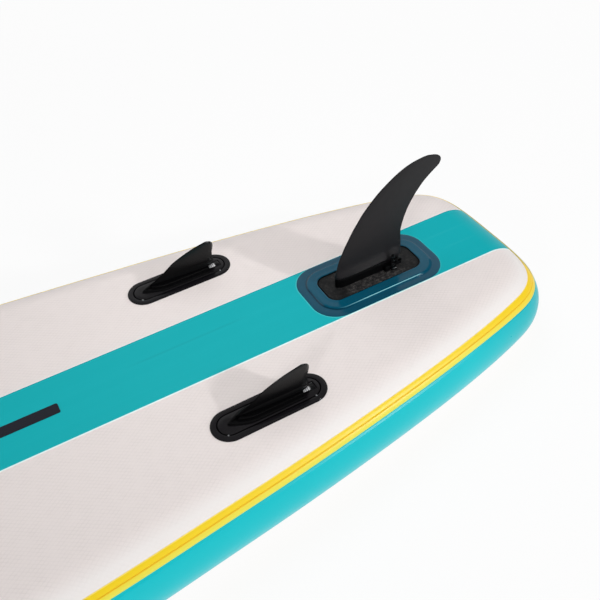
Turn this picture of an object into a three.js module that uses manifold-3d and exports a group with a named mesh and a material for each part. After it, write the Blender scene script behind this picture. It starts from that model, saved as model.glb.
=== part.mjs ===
// Inflatable stand up paddleboard, turned over so that its fins point up.
// Millimetres. +X runs along the board to the tail, +Y across it, +Z up, from the deck to the
// fin side. The origin is under the middle of the board, at the height of its lowest point.
// In names, near is the -Y side, far is +Y, front is towards the nose (-X), rear the tail (+X).
import * as THREE from 'three';
import * as BufferGeometryUtils from 'three/addons/utils/BufferGeometryUtils.js';
import Module from 'manifold-3d';

const wasm = await Module();
wasm.setup();

// ---------------------------------------------------------------- driving dimensions
const LENGTH = 3200;              // nose to tail
const THICKNESS = 150;            // deck skin to bottom skin
const RAIL_RADIUS = THICKNESS / 2; // half-round rails
const ROCKER_START = -500;        // the nose bends down from here
const ROCKER_DROP = 115;          // how far the nose tip drops
const ROCKER_LENGTH = LENGTH / 2 + ROCKER_START;
const DECK_Z = 100.37;            // outer face of the deck skin on the flat part
const BOTTOM_Z = DECK_Z + THICKNESS; // outer face of the bottom skin
const MIDDLE_Z = (DECK_Z + BOTTOM_Z) / 2;
const SKIN_THICKNESS = 1.2;       // coated drop-stitch fabric
const WALL_THICKNESS = 1.2;       // each side wall layer
const WALL_SPACING = 0.4;         // between the skin's inner face and the inner side wall
const GAP = 0.35;                 // air between glued layers
const FIN_X = 1281;               // station that the centre fin's outline is measured from

// Half outline of the flat area, tail centre to nose centre: x, y, outward normal x, y.
const HALF_OUTLINE = [
  [1525.0, 0.0, 1.0000, 0.0000], [1522.6, 85.1, 0.9943, 0.1071],
  [1519.0, 104.3, 0.9563, 0.2923], [1515.2, 113.6, 0.8733, 0.4871],
  [1510.6, 120.0, 0.7431, 0.6691], [1504.5, 125.4, 0.5778, 0.8162],
  [1493.4, 131.4, 0.3972, 0.9177], [1447.0, 146.3, 0.2732, 0.9620],
  [1313.5, 178.2, 0.1994, 0.9799], [1145.1, 208.3, 0.1593, 0.9872],
  [966.3, 234.5, 0.1283, 0.9917], [770.1, 258.5, 0.1203, 0.9927],
  [584.2, 278.6, 0.0964, 0.9953], [403.8, 293.3, 0.0659, 0.9978],
  [223.1, 302.4, 0.0351, 0.9994], [42.3, 305.9, 0.0042, 1.0000],
  [-152.3, 305.1, -0.0122, 0.9999], [-340.8, 300.8, -0.0351, 0.9994],
  [-523.2, 291.8, -0.0640, 0.9979], [-699.5, 277.5, -0.0988, 0.9951],
  [-868.3, 257.3, -0.1407, 0.9901], [-1026.8, 230.8, -0.1917, 0.9814],
  [-1170.7, 198.1, -0.2554, 0.9668], [-1294.0, 160.3, -0.3363, 0.9418],
  [-1390.0, 120.4, -0.4380, 0.8990], [-1455.0, 83.5, -0.5591, 0.8291],
  [-1492.7, 53.8, -0.6883, 0.7254], [-1511.8, 32.5, -0.8088, 0.5881],
  [-1520.4, 18.1, -0.9067, 0.4217], [-1524.0, 8.1, -0.9739, 0.2268],
  [-1524.9, 0.0, -1.0000, 0.0000],
];
const HALF_COUNT = HALF_OUTLINE.length;
const OUTLINE = HALF_OUTLINE.concat(
  HALF_OUTLINE.slice(1, -1).reverse().map(([x, y, nx, ny]) => [x, -y, nx, -ny]),
);

// ---------------------------------------------------------------- materials
const BLACK = 0x141416, CHARCOAL = 0x29282a, PETROL = 0x1d5a74;
const VALVE_GREY = 0x2b2d30, STEEL = 0xb9bcc0;
const MATERIAL = {
  skin: { color: 0xe3dcd7, roughness: 0.55 },
  innerWall: { color: 0xd8d4d0, roughness: 0.6 },
  outerWall: { color: 0x35cdd0, roughness: 0.35 },
  tape: { color: 0xf7d23a, roughness: 0.4 },
  threads: { color: 0xf2f0ea, roughness: 0.9 },
  stripe: { color: 0x1aa7af, roughness: 0.4 },
  charcoalPatch: { color: CHARCOAL, roughness: 0.6 },
  finBox: { color: BLACK, roughness: 0.5 },
  finBoxPatch: { color: PETROL, roughness: 0.4 },
  centreFin: { color: CHARCOAL, roughness: 0.45 },
  lever: { color: BLACK, roughness: 0.3 },
  sideFinBase: { color: BLACK, roughness: 0.35 },
  sideFin: { color: BLACK, roughness: 0.25 },
  latchTab: { color: BLACK, roughness: 0.2 },
  pad: { color: 0x5c6a70, roughness: 0.9 },
  webbing: { color: 0x1c1c1e, roughness: 0.85 },
  grip: { color: 0x2a2a2d, roughness: 0.9 },
  anchor: { color: CHARCOAL, roughness: 0.5 },
  cord: { color: 0x111113, roughness: 0.8 },
  ring: { color: STEEL, roughness: 0.25, metalness: 1 },
  towPatch: { color: PETROL, roughness: 0.5 },
  valve: { color: VALVE_GREY, roughness: 0.4 },
  plunger: { color: 0xd7d9db, roughness: 0.4 },
  spring: { color: STEEL, roughness: 0.3, metalness: 1 },
};

const group = new THREE.Group();
function add(name, geometry, look) {
  const flat = geometry.index ? geometry.toNonIndexed() : geometry;
  flat.computeVertexNormals();
  const mesh = new THREE.Mesh(flat, new THREE.MeshStandardMaterial({ metalness: 0, ...look }));
  mesh.name = name;
  group.add(mesh);
}

// ---------------------------------------------------------------- closed bodies
const rad = (degrees) => degrees * Math.PI / 180;
const edgeKey = (a, b) => (a < b ? a + '_' + b : b + '_' + a);
const triples = (list) => Array.from(
  { length: list.length / 3 },
  (_, i) => Array.from(list.slice(3 * i, 3 * i + 3)),
);

function indexedGeometry(positions, indices) {
  const geometry = new THREE.BufferGeometry();
  geometry.setAttribute('position', new THREE.BufferAttribute(new Float32Array(positions), 3));
  geometry.setIndex(indices);
  return geometry;
}

// Gives every face the same winding as its neighbours, spreading out from the first face.
function alignFaces(faces) {
  const edges = new Map();
  faces.forEach((face, n) => {
    for (let e = 0; e < 3; e++) {
      const key = edgeKey(face[e], face[(e + 1) % 3]);
      if (!edges.has(key)) edges.set(key, []);
      edges.get(key).push(n);
    }
  });
  const seen = new Array(faces.length).fill(false);
  for (let start = 0; start < faces.length; start++) {
    if (seen[start]) continue;
    seen[start] = true;
    const queue = [start];
    while (queue.length) {
      const current = queue.pop(), face = faces[current];
      for (let e = 0; e < 3; e++) {
        const from = face[e], to = face[(e + 1) % 3];
        for (const other of edges.get(edgeKey(from, to))) {
          if (other === current || seen[other]) continue;
          const [a, b, c] = faces[other];
          const sameWay = [[a, b], [b, c], [c, a]].some(([p, q]) => p === from && q === to);
          if (sameWay) faces[other] = [a, c, b];
          seen[other] = true;
          queue.push(other);
        }
      }
    }
  }
}

// A closed body from points and triangles: coinciding points merge, and faces turn outwards.
function closedBody(points, triangles) {
  const indexOf = new Map(), corners = [];
  const merged = points.map((point) => {
    const key = point.map((v) => Math.round(v * 1e4)).join(',');
    if (!indexOf.has(key)) {
      indexOf.set(key, corners.length);
      corners.push(point);
    }
    return indexOf.get(key);
  });
  let faces = triangles
    .map((triangle) => triangle.map((i) => merged[i]))
    .filter(([a, b, c]) => a !== b && b !== c && a !== c);
  alignFaces(faces);
  let volume = 0;
  for (const face of faces) {
    const [p, q, r] = face.map((i) => corners[i]);
    volume += p[0] * (q[1] * r[2] - q[2] * r[1])
      - p[1] * (q[0] * r[2] - q[2] * r[0])
      + p[2] * (q[0] * r[1] - q[1] * r[0]);
  }
  if (volume < 0) faces = faces.map(([a, b, c]) => [a, c, b]);
  return indexedGeometry(corners.flat(), faces.flat());
}

// Loops of equal point count joined in order.
// 'fan' closes both ends, 'ring' joins the last loop to the first.
function loft(loops, caps) {
  const points = loops.flat(), triangles = [], count = loops[0].length;
  const bands = caps === 'ring' ? loops.length : loops.length - 1;
  for (let k = 0; k < bands; k++) {
    const a = k * count, b = ((k + 1) % loops.length) * count;
    for (let i = 0; i < count; i++) {
      const j = (i + 1) % count;
      triangles.push([a + i, a + j, b + j], [a + i, b + j, b + i]);
    }
  }
  if (caps === 'fan') {
    for (const k of [0, loops.length - 1]) {
      const centre = [0, 0, 0];
      loops[k].forEach((point) => point.forEach((v, axis) => { centre[axis] += v / count; }));
      const hub = points.push(centre) - 1;
      for (let i = 0; i < count; i++) {
        triangles.push([hub, k * count + i, k * count + (i + 1) % count]);
      }
    }
  }
  return closedBody(points, triangles);
}

// ---------------------------------------------------------------- shapes
// Points on an arc in a plane.
function arc(centreX, centreY, radius, startDeg, sweepDeg, steps) {
  return Array.from({ length: steps + 1 }, (_, i) => {
    const angle = rad(startDeg + sweepDeg * i / steps);
    return [centreX + radius * Math.cos(angle), centreY + radius * Math.sin(angle)];
  });
}

// Rounded rectangle loop at height z, inset inwards by a distance.
function roundLoop({ x, y, halfLength, halfWidth, radius }, inset, z, segments = 5) {
  const a = halfLength - inset, b = halfWidth - inset;
  const corner = Math.max(Math.min(radius - inset, a - 0.01, b - 0.01), 0.4);
  return [[1, 1, 0], [-1, 1, 90], [-1, -1, 180], [1, -1, 270]].flatMap(
    ([signX, signY, start]) => arc(
      x + signX * (a - corner), y + signY * (b - corner), corner, start, 90, segments,
    ).map(([px, py]) => [px, py, z]),
  );
}
// Flat plate with a rounded rectangle outline.
function roundPlate(shape, z0, z1, segments) {
  return loft([z0, z1].map((z) => roundLoop(shape, 0, z, segments)), 'fan');
}
function box([x0, x1], [y0, y1], [z0, z1]) {
  return new THREE.BoxGeometry(x1 - x0, y1 - y0, z1 - z0)
    .translate((x0 + x1) / 2, (y0 + y1) / 2, (z0 + z1) / 2);
}
// Cylinder along Y.
function crossPin(radius, length, segments, x, y, z) {
  return new THREE.CylinderGeometry(radius, radius, length, segments).translate(x, y, z);
}
function extrude(outline, depth, holes = []) {
  const toVectors = (points) => points.map(([x, y]) => new THREE.Vector2(x, y));
  const shape = new THREE.Shape(toVectors(outline));
  holes.forEach((hole) => shape.holes.push(new THREE.Path(toVectors(hole))));
  return new THREE.ExtrudeGeometry(shape, { depth, bevelEnabled: false, steps: 1 });
}
// Plate from an outline in XY between two heights.
function plate(outline, z0, z1, holes) {
  return extrude(outline, z1 - z0, holes).translate(0, 0, z0);
}
// Plate from an outline in XZ between two Y planes.
function sidePlate(outline, y0, y1) {
  return extrude(outline, y1 - y0).rotateX(Math.PI / 2).translate(0, y1, 0);
}

// Round rod along a path; closed joins its ends.
function rod(path, radius, sides, closed) {
  const count = path.length, points = path.map((point) => new THREE.Vector3(...point));
  let up = null;
  const loops = points.map((centre, i) => {
    const before = closed ? points[(i + count - 1) % count] : points[Math.max(i - 1, 0)];
    const after = closed ? points[(i + 1) % count] : points[Math.min(i + 1, count - 1)];
    const along = after.clone().sub(before).normalize();
    up ??= Math.abs(along.z) < 0.9 ? new THREE.Vector3(0, 0, 1) : new THREE.Vector3(1, 0, 0);
    up = up.clone().sub(along.clone().multiplyScalar(up.dot(along))).normalize();
    const side = along.clone().cross(up);
    return Array.from({ length: sides }, (_, k) => {
      const angle = 2 * Math.PI * k / sides;
      return centre.clone()
        .addScaledVector(up, radius * Math.cos(angle))
        .addScaledVector(side, radius * Math.sin(angle))
        .toArray();
    });
  });
  return loft(loops, closed ? 'ring' : 'fan');
}

// Body of revolution about the Z axis. The profile is [radius, z] and closes on itself.
function turned(profile, segments = 24) {
  const points = profile.map(([radius, z]) => new THREE.Vector2(radius, z));
  if (points[0].x > 0 || points[points.length - 1].x > 0) points.push(points[0].clone());
  const lathe = new THREE.LatheGeometry(points, segments).rotateX(Math.PI / 2);
  lathe.deleteAttribute('normal');
  lathe.deleteAttribute('uv');
  const merged = BufferGeometryUtils.mergeVertices(lathe, 1e-3);
  return closedBody(triples(merged.attributes.position.array), triples(merged.index.array));
}

// ---------------------------------------------------------------- boolean operations
function toManifold(geometry) {
  geometry.deleteAttribute('normal');
  geometry.deleteAttribute('uv');
  const merged = BufferGeometryUtils.mergeVertices(geometry, 1e-4);
  return new wasm.Manifold(new wasm.Mesh({
    numProp: 3,
    vertProperties: new Float32Array(merged.attributes.position.array),
    triVerts: new Uint32Array(merged.index.array),
  }));
}
function fromManifold(body) {
  const mesh = body.getMesh();
  return indexedGeometry(mesh.vertProperties, Array.from(mesh.triVerts));
}
// A base with some solids added to it, and then others cut from it.
function combine(base, added, removed) {
  let body = toManifold(base);
  for (const part of added) body = body.add(toManifold(part));
  for (const part of removed) body = body.subtract(toManifold(part));
  return fromManifold(body);
}

// ---------------------------------------------------------------- hull surface
// Vertical shift of the board's nose, and its slope.
function rocker(x) {
  return x < ROCKER_START ? -ROCKER_DROP * ((ROCKER_START - x) / ROCKER_LENGTH) ** 2 : 0;
}
function rockerAngle(x) {
  return Math.atan(2 * ROCKER_DROP * (ROCKER_START - x) / ROCKER_LENGTH ** 2);
}

// Half width of the flat area at x.
function halfWidthAt(x) {
  for (let i = 0; i + 1 < HALF_COUNT; i++) {
    const [x0, y0] = HALF_OUTLINE[i], [x1, y1] = HALF_OUTLINE[i + 1];
    if (x0 >= x && x1 <= x) return y0 + (y1 - y0) * (x0 - x) / (x0 - x1);
  }
  return 0;
}

// Point on the rail: outline station, degrees from straight up (180 is the deck), and
// distance outside the skin.
function railPoint([x, y, nx, ny], degrees, offset) {
  const radius = RAIL_RADIUS + offset, angle = rad(degrees);
  const px = x + nx * radius * Math.sin(angle), py = y + ny * radius * Math.sin(angle);
  return [px, py, MIDDLE_Z + radius * Math.cos(angle) + rocker(px)];
}

// A sheet that follows the hull between two offsets, over some rail angles. With a panel it
// also covers the flat area inside the first angle.
function sheet(angles, innerOffset, outerOffset, hasPanel) {
  const points = [], triangles = [], count = OUTLINE.length;
  const layer = (offset) => angles.map((angle) => OUTLINE.map(
    (station) => points.push(railPoint(station, angle, offset)) - 1,
  ));
  const outer = layer(outerOffset), inner = layer(innerOffset);
  const strip = (a, b) => {
    for (let j = 0; j < count; j++) {
      const k = (j + 1) % count;
      triangles.push([a[j], a[k], b[k]], [a[j], b[k], b[j]]);
    }
  };
  for (const rings of [outer, inner]) {
    for (let k = 0; k + 1 < angles.length; k++) strip(rings[k], rings[k + 1]);
  }
  strip(outer[angles.length - 1], inner[angles.length - 1]);
  if (!hasPanel) {
    strip(outer[0], inner[0]);
    return closedBody(points, triangles);
  }
  for (const ring of [outer[0], inner[0]]) {
    const mirrored = (j) => ring[(count - j) % count];
    triangles.push([ring[0], ring[1], mirrored(1)]);
    for (let j = 1; j < HALF_COUNT - 2; j++) {
      triangles.push([ring[j], ring[j + 1], mirrored(j + 1)]);
      triangles.push([ring[j], mirrored(j + 1), mirrored(j)]);
    }
    triangles.push([ring[HALF_COUNT - 2], ring[HALF_COUNT - 1], mirrored(HALF_COUNT - 2)]);
  }
  return closedBody(points, triangles);
}

// ---------------------------------------------------------------- hull
const VALVE_X = 1412, VALVE_Y = 76;
{
  const TAPE_INNER_DEG = 39.7, TAPE_THICKNESS = 0.8;
  const SKIN_ANGLES = [0, 20, TAPE_INNER_DEG, 47.2];
  const WALL_ANGLES = [48, 69, 90, 111, 132];
  const TAPE_ANGLES = [TAPE_INNER_DEG, 47.6, 55.5];
  const STRIPE_HALF_WIDTH = 72.25;
  const VALVE_HOLE_RADIUS = 18.4;
  const onDeck = (angles) => angles.map((angle) => 180 - angle);
  const skin = (angles) => sheet(angles, -SKIN_THICKNESS, 0, true);
  const tape = (angles) => sheet(angles, GAP, GAP + TAPE_THICKNESS, false);

  add('bottom_skin', skin(SKIN_ANGLES), MATERIAL.skin);
  const valveHole = new THREE.CylinderGeometry(VALVE_HOLE_RADIUS, VALVE_HOLE_RADIUS, 11, 20)
    .rotateX(Math.PI / 2)
    .translate(VALVE_X, VALVE_Y, DECK_Z + 0.5);
  add('deck_skin', combine(skin(onDeck(SKIN_ANGLES)), [], [valveHole]), MATERIAL.skin);

  const innerWallFace = -SKIN_THICKNESS - WALL_SPACING;
  add('inner_side_wall',
    sheet([40, ...WALL_ANGLES, 140], innerWallFace - WALL_THICKNESS, innerWallFace, false),
    MATERIAL.innerWall);
  add('outer_side_wall', sheet(WALL_ANGLES, -WALL_THICKNESS, 0, false), MATERIAL.outerWall);
  add('bottom_seam_tape', tape(TAPE_ANGLES), MATERIAL.tape);
  add('deck_seam_tape', tape(onDeck(TAPE_ANGLES)), MATERIAL.tape);

  add('drop_stitch_core', dropStitchCore(), MATERIAL.threads);

  // Centre stripe: a sheet over the bottom skin, cut to a straight band.
  const cover = sheet([0, 20, TAPE_INNER_DEG - 1.2], GAP, GAP + 0.4, true);
  const band = box([-1700, 1700], [-STRIPE_HALF_WIDTH, STRIPE_HALF_WIDTH], [-50, 400]);
  add('centre_stripe', fromManifold(toManifold(cover).intersect(toManifold(band))),
    MATERIAL.stripe);

  // Dark strip on the centre line.
  const x0 = 330, x1 = 711;
  const keel = {
    x: (x0 + x1) / 2, y: 0, halfLength: (x1 - x0) / 2, halfWidth: 10.8, radius: 3,
  };
  add('keel_strip', roundPlate(keel, BOTTOM_Z + 1.1, BOTTOM_Z + 1.6, 3),
    MATERIAL.charcoalPatch);
}

// Drop-stitch threads, grouped into one lengthwise curtain with cross curtains.
function dropStitchCore() {
  const half = 0.8, halfHeight = 67, edgeInset = 12;
  // Flat cells in plan: one between each pair of curtains, and three across each curtain.
  const plan = [], cells = [];
  const vertex = (x, y) => plan.push([x, y]) - 1;
  let previous = [vertex(-1440, -half), vertex(-1440, half)];
  for (let x = -1410; x <= 1350; x += 250) {
    const width = halfWidthAt(x) - edgeInset, rows = [-width, -half, half, width];
    const front = rows.map((y) => vertex(x - half, y));
    const rear = rows.map((y) => vertex(x + half, y));
    cells.push([previous[0], front[1], front[2], previous[1]]);
    for (let k = 0; k < 3; k++) cells.push([front[k], rear[k], rear[k + 1], front[k + 1]]);
    previous = [rear[1], rear[2]];
  }
  cells.push([previous[0], vertex(1480, -half), vertex(1480, half), previous[1]]);

  const count = plan.length, triangles = [], edgeUses = new Map();
  const points = [-halfHeight, halfHeight].flatMap(
    (height) => plan.map(([x, y]) => [x, y, MIDDLE_Z + height + rocker(x)]),
  );
  for (const cell of cells) {
    for (const start of [0, count]) {
      const [a, b, c, d] = cell.map((corner) => corner + start);
      triangles.push([a, b, c], [a, c, d]);
    }
    cell.forEach((corner, i) => {
      const key = edgeKey(corner, cell[(i + 1) % 4]);
      edgeUses.set(key, (edgeUses.get(key) || 0) + 1);
    });
  }
  // An edge that only one cell uses is on the outside, and gets an upright face.
  edgeUses.forEach((uses, key) => {
    if (uses !== 1) return;
    const [p, q] = key.split('_').map(Number);
    triangles.push([p, q, q + count], [p, q + count, p + count]);
  });
  return closedBody(points, triangles);
}

// ---------------------------------------------------------------- centre fin box
const CHANNEL_TOP = 22;           // top of the centre fin's channel above the bottom skin
const OPENING = { x: 1302, y: 0, halfLength: 97.5, halfWidth: 36, radius: 20 };
const FLANGE = {
  x: OPENING.x,
  y: 0,
  halfLength: OPENING.halfLength + 12,
  halfWidth: OPENING.halfWidth + 14,
  radius: OPENING.radius + 12,
};
const PATCH = { x: 1300.2, y: 0, halfLength: 132.3, halfWidth: 70.9, radius: 48 };

// Loops from rows of: rounded rectangle, inset, height above the bottom skin.
function bottomLoops(rows, segments) {
  return rows.map(([shape, inset, z]) => roundLoop(shape, inset, BOTTOM_Z + z, segments));
}

function finBox() {
  // A flange under the patch, a rim round the opening, and a lower floor inside it.
  const base = loft(bottomLoops([
    [FLANGE, 0, 1.05], [FLANGE, 0, 2.6], [FLANGE, 1.0, 3.6],
    [OPENING, 1.0, 3.6], [OPENING, 2.5, 1.9],
  ]), 'fan');
  const halfWidth = 9.5, front = FIN_X - 60, rear = FIN_X + 86;
  const slotX = [FIN_X - 54.4, rear + 5];
  const slotFloor = BOTTOM_Z + 5.9, above = BOTTOM_Z + CHANNEL_TOP + 5;
  // Channel block with a front end rounded in plan.
  const channel = arc(front + halfWidth, 0, halfWidth, 90, 180, 8);
  channel.push([rear, -halfWidth], [rear, halfWidth]);
  return combine(base, [plate(channel, BOTTOM_Z + 1.5, BOTTOM_Z + CHANNEL_TOP)], [
    // T slot, open at the rear.
    box(slotX, [-6.6, 6.6], [slotFloor, BOTTOM_Z + 10.6]),
    box(slotX, [-4.6, 4.6], [BOTTOM_Z + 10, above]),
    // The near wall is cut back at the rear for the lock lever.
    box([FIN_X + 49, rear + 5], [-halfWidth - 3, -4], [slotFloor, above]),
  ]);
}
add('fin_box', finBox(), MATERIAL.finBox);

// Patch: flat border on the stripe, a step up over the flange, and an opening.
add('fin_box_patch', loft(bottomLoops([
  [PATCH, 0, 1.1], [PATCH, 0, 1.7], [FLANGE, -2.2, 2.0], [FLANGE, 0.2, 4.6],
  [OPENING, 0, 4.6], [OPENING, 0, 3.95], [FLANGE, -0.4, 3.95], [FLANGE, -0.8, 1.1],
]), 'ring'), MATERIAL.finBoxPatch);

// ---------------------------------------------------------------- fins
// Value at height z from a table of [value, z], held at the ends.
function interpolate(table, z) {
  if (z <= table[0][1]) return table[0][0];
  for (let i = 0; i + 1 < table.length; i++) {
    const [value0, z0] = table[i], [value1, z1] = table[i + 1];
    if (z <= z1) return value0 + (value1 - value0) * (z - z0) / (z1 - z0);
  }
  return table[table.length - 1][0];
}

const CHORD_STATIONS = [0, 0.04, 0.16, 0.36, 0.62, 0.86, 1];
const MIN_HALF_THICKNESS = 0.25;

// Half thickness of a symmetric foil along its chord, scaled to a peak near 1.
function foil(s) {
  return 10 * (0.2969 * Math.sqrt(s) - 0.126 * s - 0.3516 * s * s
    + 0.2843 * s ** 3 - 0.1036 * s ** 4);
}
// Half thickness of a plain block with its corners taken off.
function block(s) {
  const end = s === 0 || s === 1 ? 0.55 : 0;
  return Math.min(1, Math.min(s, 1 - s) / 0.04 + end);
}
// One level section of a fin. A bluntness of 0 is a foil, 1 is a block.
function finSection(front, rear, halfThickness, bluntness, y, z) {
  const sidePoints = (sign) => CHORD_STATIONS.map((s) => {
    const half = halfThickness * (foil(s) * (1 - bluntness) + block(s) * bluntness);
    return [front + (rear - front) * s, y + sign * Math.max(half, MIN_HALF_THICKNESS), z];
  });
  return [...sidePoints(1), ...sidePoints(-1).reverse()];
}

// Each fin: foot sections (front x, rear x, half thickness, bluntness, z), then the blade's
// edges as [x, z], the heights of its sections, and how its half thickness falls from root to
// tip. x is from the fin's station, z from the bottom skin.
const CENTRE_FIN = {
  foot: [
    [-53.6, 85.5, 6.1, 1, 6.4], [-53.6, 85.5, 6.1, 1, 9.6],
    [-53.6, 85.5, 4.1, 1, 9.9], [-53.6, 85.5, 4.1, 1, CHANNEL_TOP + 0.4],
    [-58, 88.5, 8.2, 0.8, CHANNEL_TOP + 0.5], [-57, 88, 8.0, 0.7, CHANNEL_TOP + 3],
    [-52, 87.8, 4.9, 0, 37],
  ],
  leadingEdge: [
    [-59, 0], [-52.8, 27.1], [-44.3, 56.2], [-35.6, 75.2], [-27.8, 89.8], [-15.4, 111.1],
    [-1.2, 131.1], [14.9, 150], [33.4, 167.7], [55.2, 183.7], [80.5, 198.3], [102.3, 206.2],
    [116.2, 208.9], [134.6, 210.1],
  ],
  trailingEdge: [
    [87.4, 0], [87.7, 46.5], [86.6, 65.7], [88.5, 83.2], [93.3, 99.2], [99.5, 114.4],
    [107.5, 128.6], [116.6, 142.2], [127.4, 155], [140.4, 166.7], [155.6, 177.6],
    [163.3, 182.9], [166.6, 189.9], [164.5, 198.9], [150.1, 207.3], [134.6, 210.1],
  ],
  heights: [56, 75, 92, 110, 128, 146, 162, 176, 187, 196, 203, 207.5, 209.9],
  taper: { root: 4.7, loss: 3.1, height: 210, power: 1.3, tip: 0.5 },
};
const SIDE_FIN = {
  foot: [
    [-328.4, -227, 7.0, 1, 6.7], [-328.4, -227, 7.0, 1, 8.4],
    [-328.4, -227, 3.9, 1, 8.6], [-328.4, -227, 3.9, 1, 11.9],
    [-352, -212, 8.6, 0.35, 12.0], [-351, -212, 8.2, 0.3, 13.6],
  ],
  leadingEdge: [
    [-350, 14], [-345, 16.4], [-330, 21], [-315.5, 26.7], [-306, 32], [-294, 41],
    [-286, 44.8], [-276, 48.5], [-267, 51.8], [-257, 55.1], [-246, 57.8], [-235, 60.2],
    [-222, 61.9],
  ],
  trailingEdge: [
    [-212.5, 12], [-214, 27.1], [-210.8, 36.3], [-208.7, 44.5], [-208.9, 50], [-211, 55.2],
    [-214.5, 59.5], [-222, 61.9],
  ],
  heights: [18, 24, 31, 38, 45, 51, 56, 60, 61.6],
  taper: { root: 4.6, loss: 2.7, height: 62, power: 1.2, tip: 0.6 },
};

function fin({ foot, leadingEdge, trailingEdge, heights, taper }, x, y) {
  const blade = heights.map((z, i) => {
    const halfThickness = i === heights.length - 1
      ? taper.tip
      : taper.root - taper.loss * (z / taper.height) ** taper.power;
    return [interpolate(leadingEdge, z), interpolate(trailingEdge, z), halfThickness, 0, z];
  });
  return loft([...foot, ...blade].map(([front, rear, halfThickness, bluntness, z]) => (
    finSection(x + front, x + rear, halfThickness, bluntness, y, BOTTOM_Z + z)
  )), 'fan');
}
add('centre_fin', fin(CENTRE_FIN, FIN_X, 0), MATERIAL.centreFin);

// Lock lever on the near side of the fin's foot: a pivot boss, an arm with a thumb bar, and a
// prong.
function finLockLever() {
  const x = FIN_X + 62, z = BOTTOM_Z, pivotZ = z + 13, farFace = -9.9;
  const arm = arc(x, pivotZ, 5.5, 70, 250, 10);
  arm.push([x + 26, z + 14.2], [x + 30, z + 17.5], [x + 30, z + 20.5]);
  arm.push([x + 27, z + 21], [x + 22, z + 18.6]);
  return combine(sidePlate(arm, -12.4, farFace), [
    box([x + 23, x + 29], [-18, farFace], [z + 16.4, z + 19.6]),
    box([x - 5, x + 3], [-18.5, farFace], [z + 5.4, z + 9.8]),
    crossPin(2.2, 6, 12, x, -9.4, pivotZ),
  ], []);
}
add('fin_lock_lever', finLockLever(), MATERIAL.lever);

// Side fins: plate with a rail, a fin that slides in it, and a latch tab behind.
const SIDE_PLATE_X = 998.7;
const SIDE_PLATE_Y = 178.3;
const SIDE_FIN_X = SIDE_PLATE_X + 282.3; // station that the side fins' x values start from

function sideFinBase(y) {
  const shape = { x: SIDE_PLATE_X, y, halfLength: 100.9, halfWidth: 32, radius: 32 };
  const base = loft(bottomLoops([
    [shape, 0, 0.4], [shape, 0, 1.4], [shape, 1.6, 2.9], [shape, 10.4, 3.3],
    [shape, 10.8, 1.9], [shape, 12.6, 1.9], [shape, 13.0, 3.5],
  ], 6), 'fan');
  // Step of the rail, with a pointed front end.
  const railStep = (front, point, half, z0, z1) => plate([
    [front, 0], [front + point * 0.35, half * 0.62], [front + point, half], [-227, half],
    [-227, -half], [front + point, -half], [front + point * 0.35, -half * 0.62],
  ].map(([px, py]) => [px + SIDE_FIN_X, py + y]), BOTTOM_Z + z0, BOTTOM_Z + z1);
  const cutter = (x0, x1, half, z0, z1) => box(
    [SIDE_FIN_X + x0, SIDE_FIN_X + x1], [y - half, y + half], [BOTTOM_Z + z0, BOTTOM_Z + z1],
  );
  return combine(base, [
    railStep(-346, 26, 16, 3, 6.4),
    railStep(-343, 22, 10.4, 6, 11.6),
  ], [
    // T slot, open at the rear.
    cutter(-329, -220, 7.4, 6.3, 9.0),
    cutter(-329, -220, 4.3, 8.5, 14),
    // Window for the latch tab.
    cutter(-226.5, -200, 8.4, -2, 8),
  ]);
}

// Latch tab: a press pad with four ribs across it.
function sideLatchTab(y) {
  const top = 4.2, halfWidth = 7.2;
  const profile = [[-226, 2.2], [-203, 2.2], [-201.6, 3.0], [-203, top], [-208, top]];
  for (let i = 0; i < 4; i++) {
    const x = -210 - i * 3.6;
    profile.push([x, top], [x - 0.6, top + 1.5], [x - 2.0, top + 1.5], [x - 2.6, top]);
  }
  profile.push([-226, top]);
  const placed = profile.map(([x, z]) => [x + SIDE_FIN_X, z + BOTTOM_Z]);
  return sidePlate(placed, y - halfWidth, y + halfWidth);
}

for (const [tag, y] of [['near', -SIDE_PLATE_Y], ['far', SIDE_PLATE_Y]]) {
  add('side_fin_base_' + tag, sideFinBase(y), MATERIAL.sideFinBase);
  add('side_fin_' + tag, fin(SIDE_FIN, SIDE_FIN_X, y), MATERIAL.sideFin);
  add('side_latch_tab_' + tag, sideLatchTab(y), MATERIAL.latchTab);
}

// ---------------------------------------------------------------- deck side (faces down)
// Foam pad with a cut-out under the handle.
function deckPad() {
  const thickness = 5, edgeInset = 26;
  // x, extra inset from the edge.
  const stations = [
    [1335, 14], [1200, 0], [1060, 0], [900, 0], [700, 0], [500, 0], [250, 0], [0, 0],
    [-200, 0], [-380, 0], [-430, 30], [-470, 110],
  ];
  const side = stations.map(([x, extra]) => [x, halfWidthAt(x) - edgeInset - extra]);
  const outline = side.concat(side.slice().reverse().map(([x, y]) => [x, -y]));
  const window = { x: 0, y: 0, halfLength: 157, halfWidth: 40, radius: 18 };
  const hole = roundLoop(window, 0, 0, 3).reverse();
  return plate(outline, DECK_Z - GAP - thickness, DECK_Z - GAP, [hole]);
}
add('deck_pad', deckPad(), MATERIAL.pad);

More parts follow.
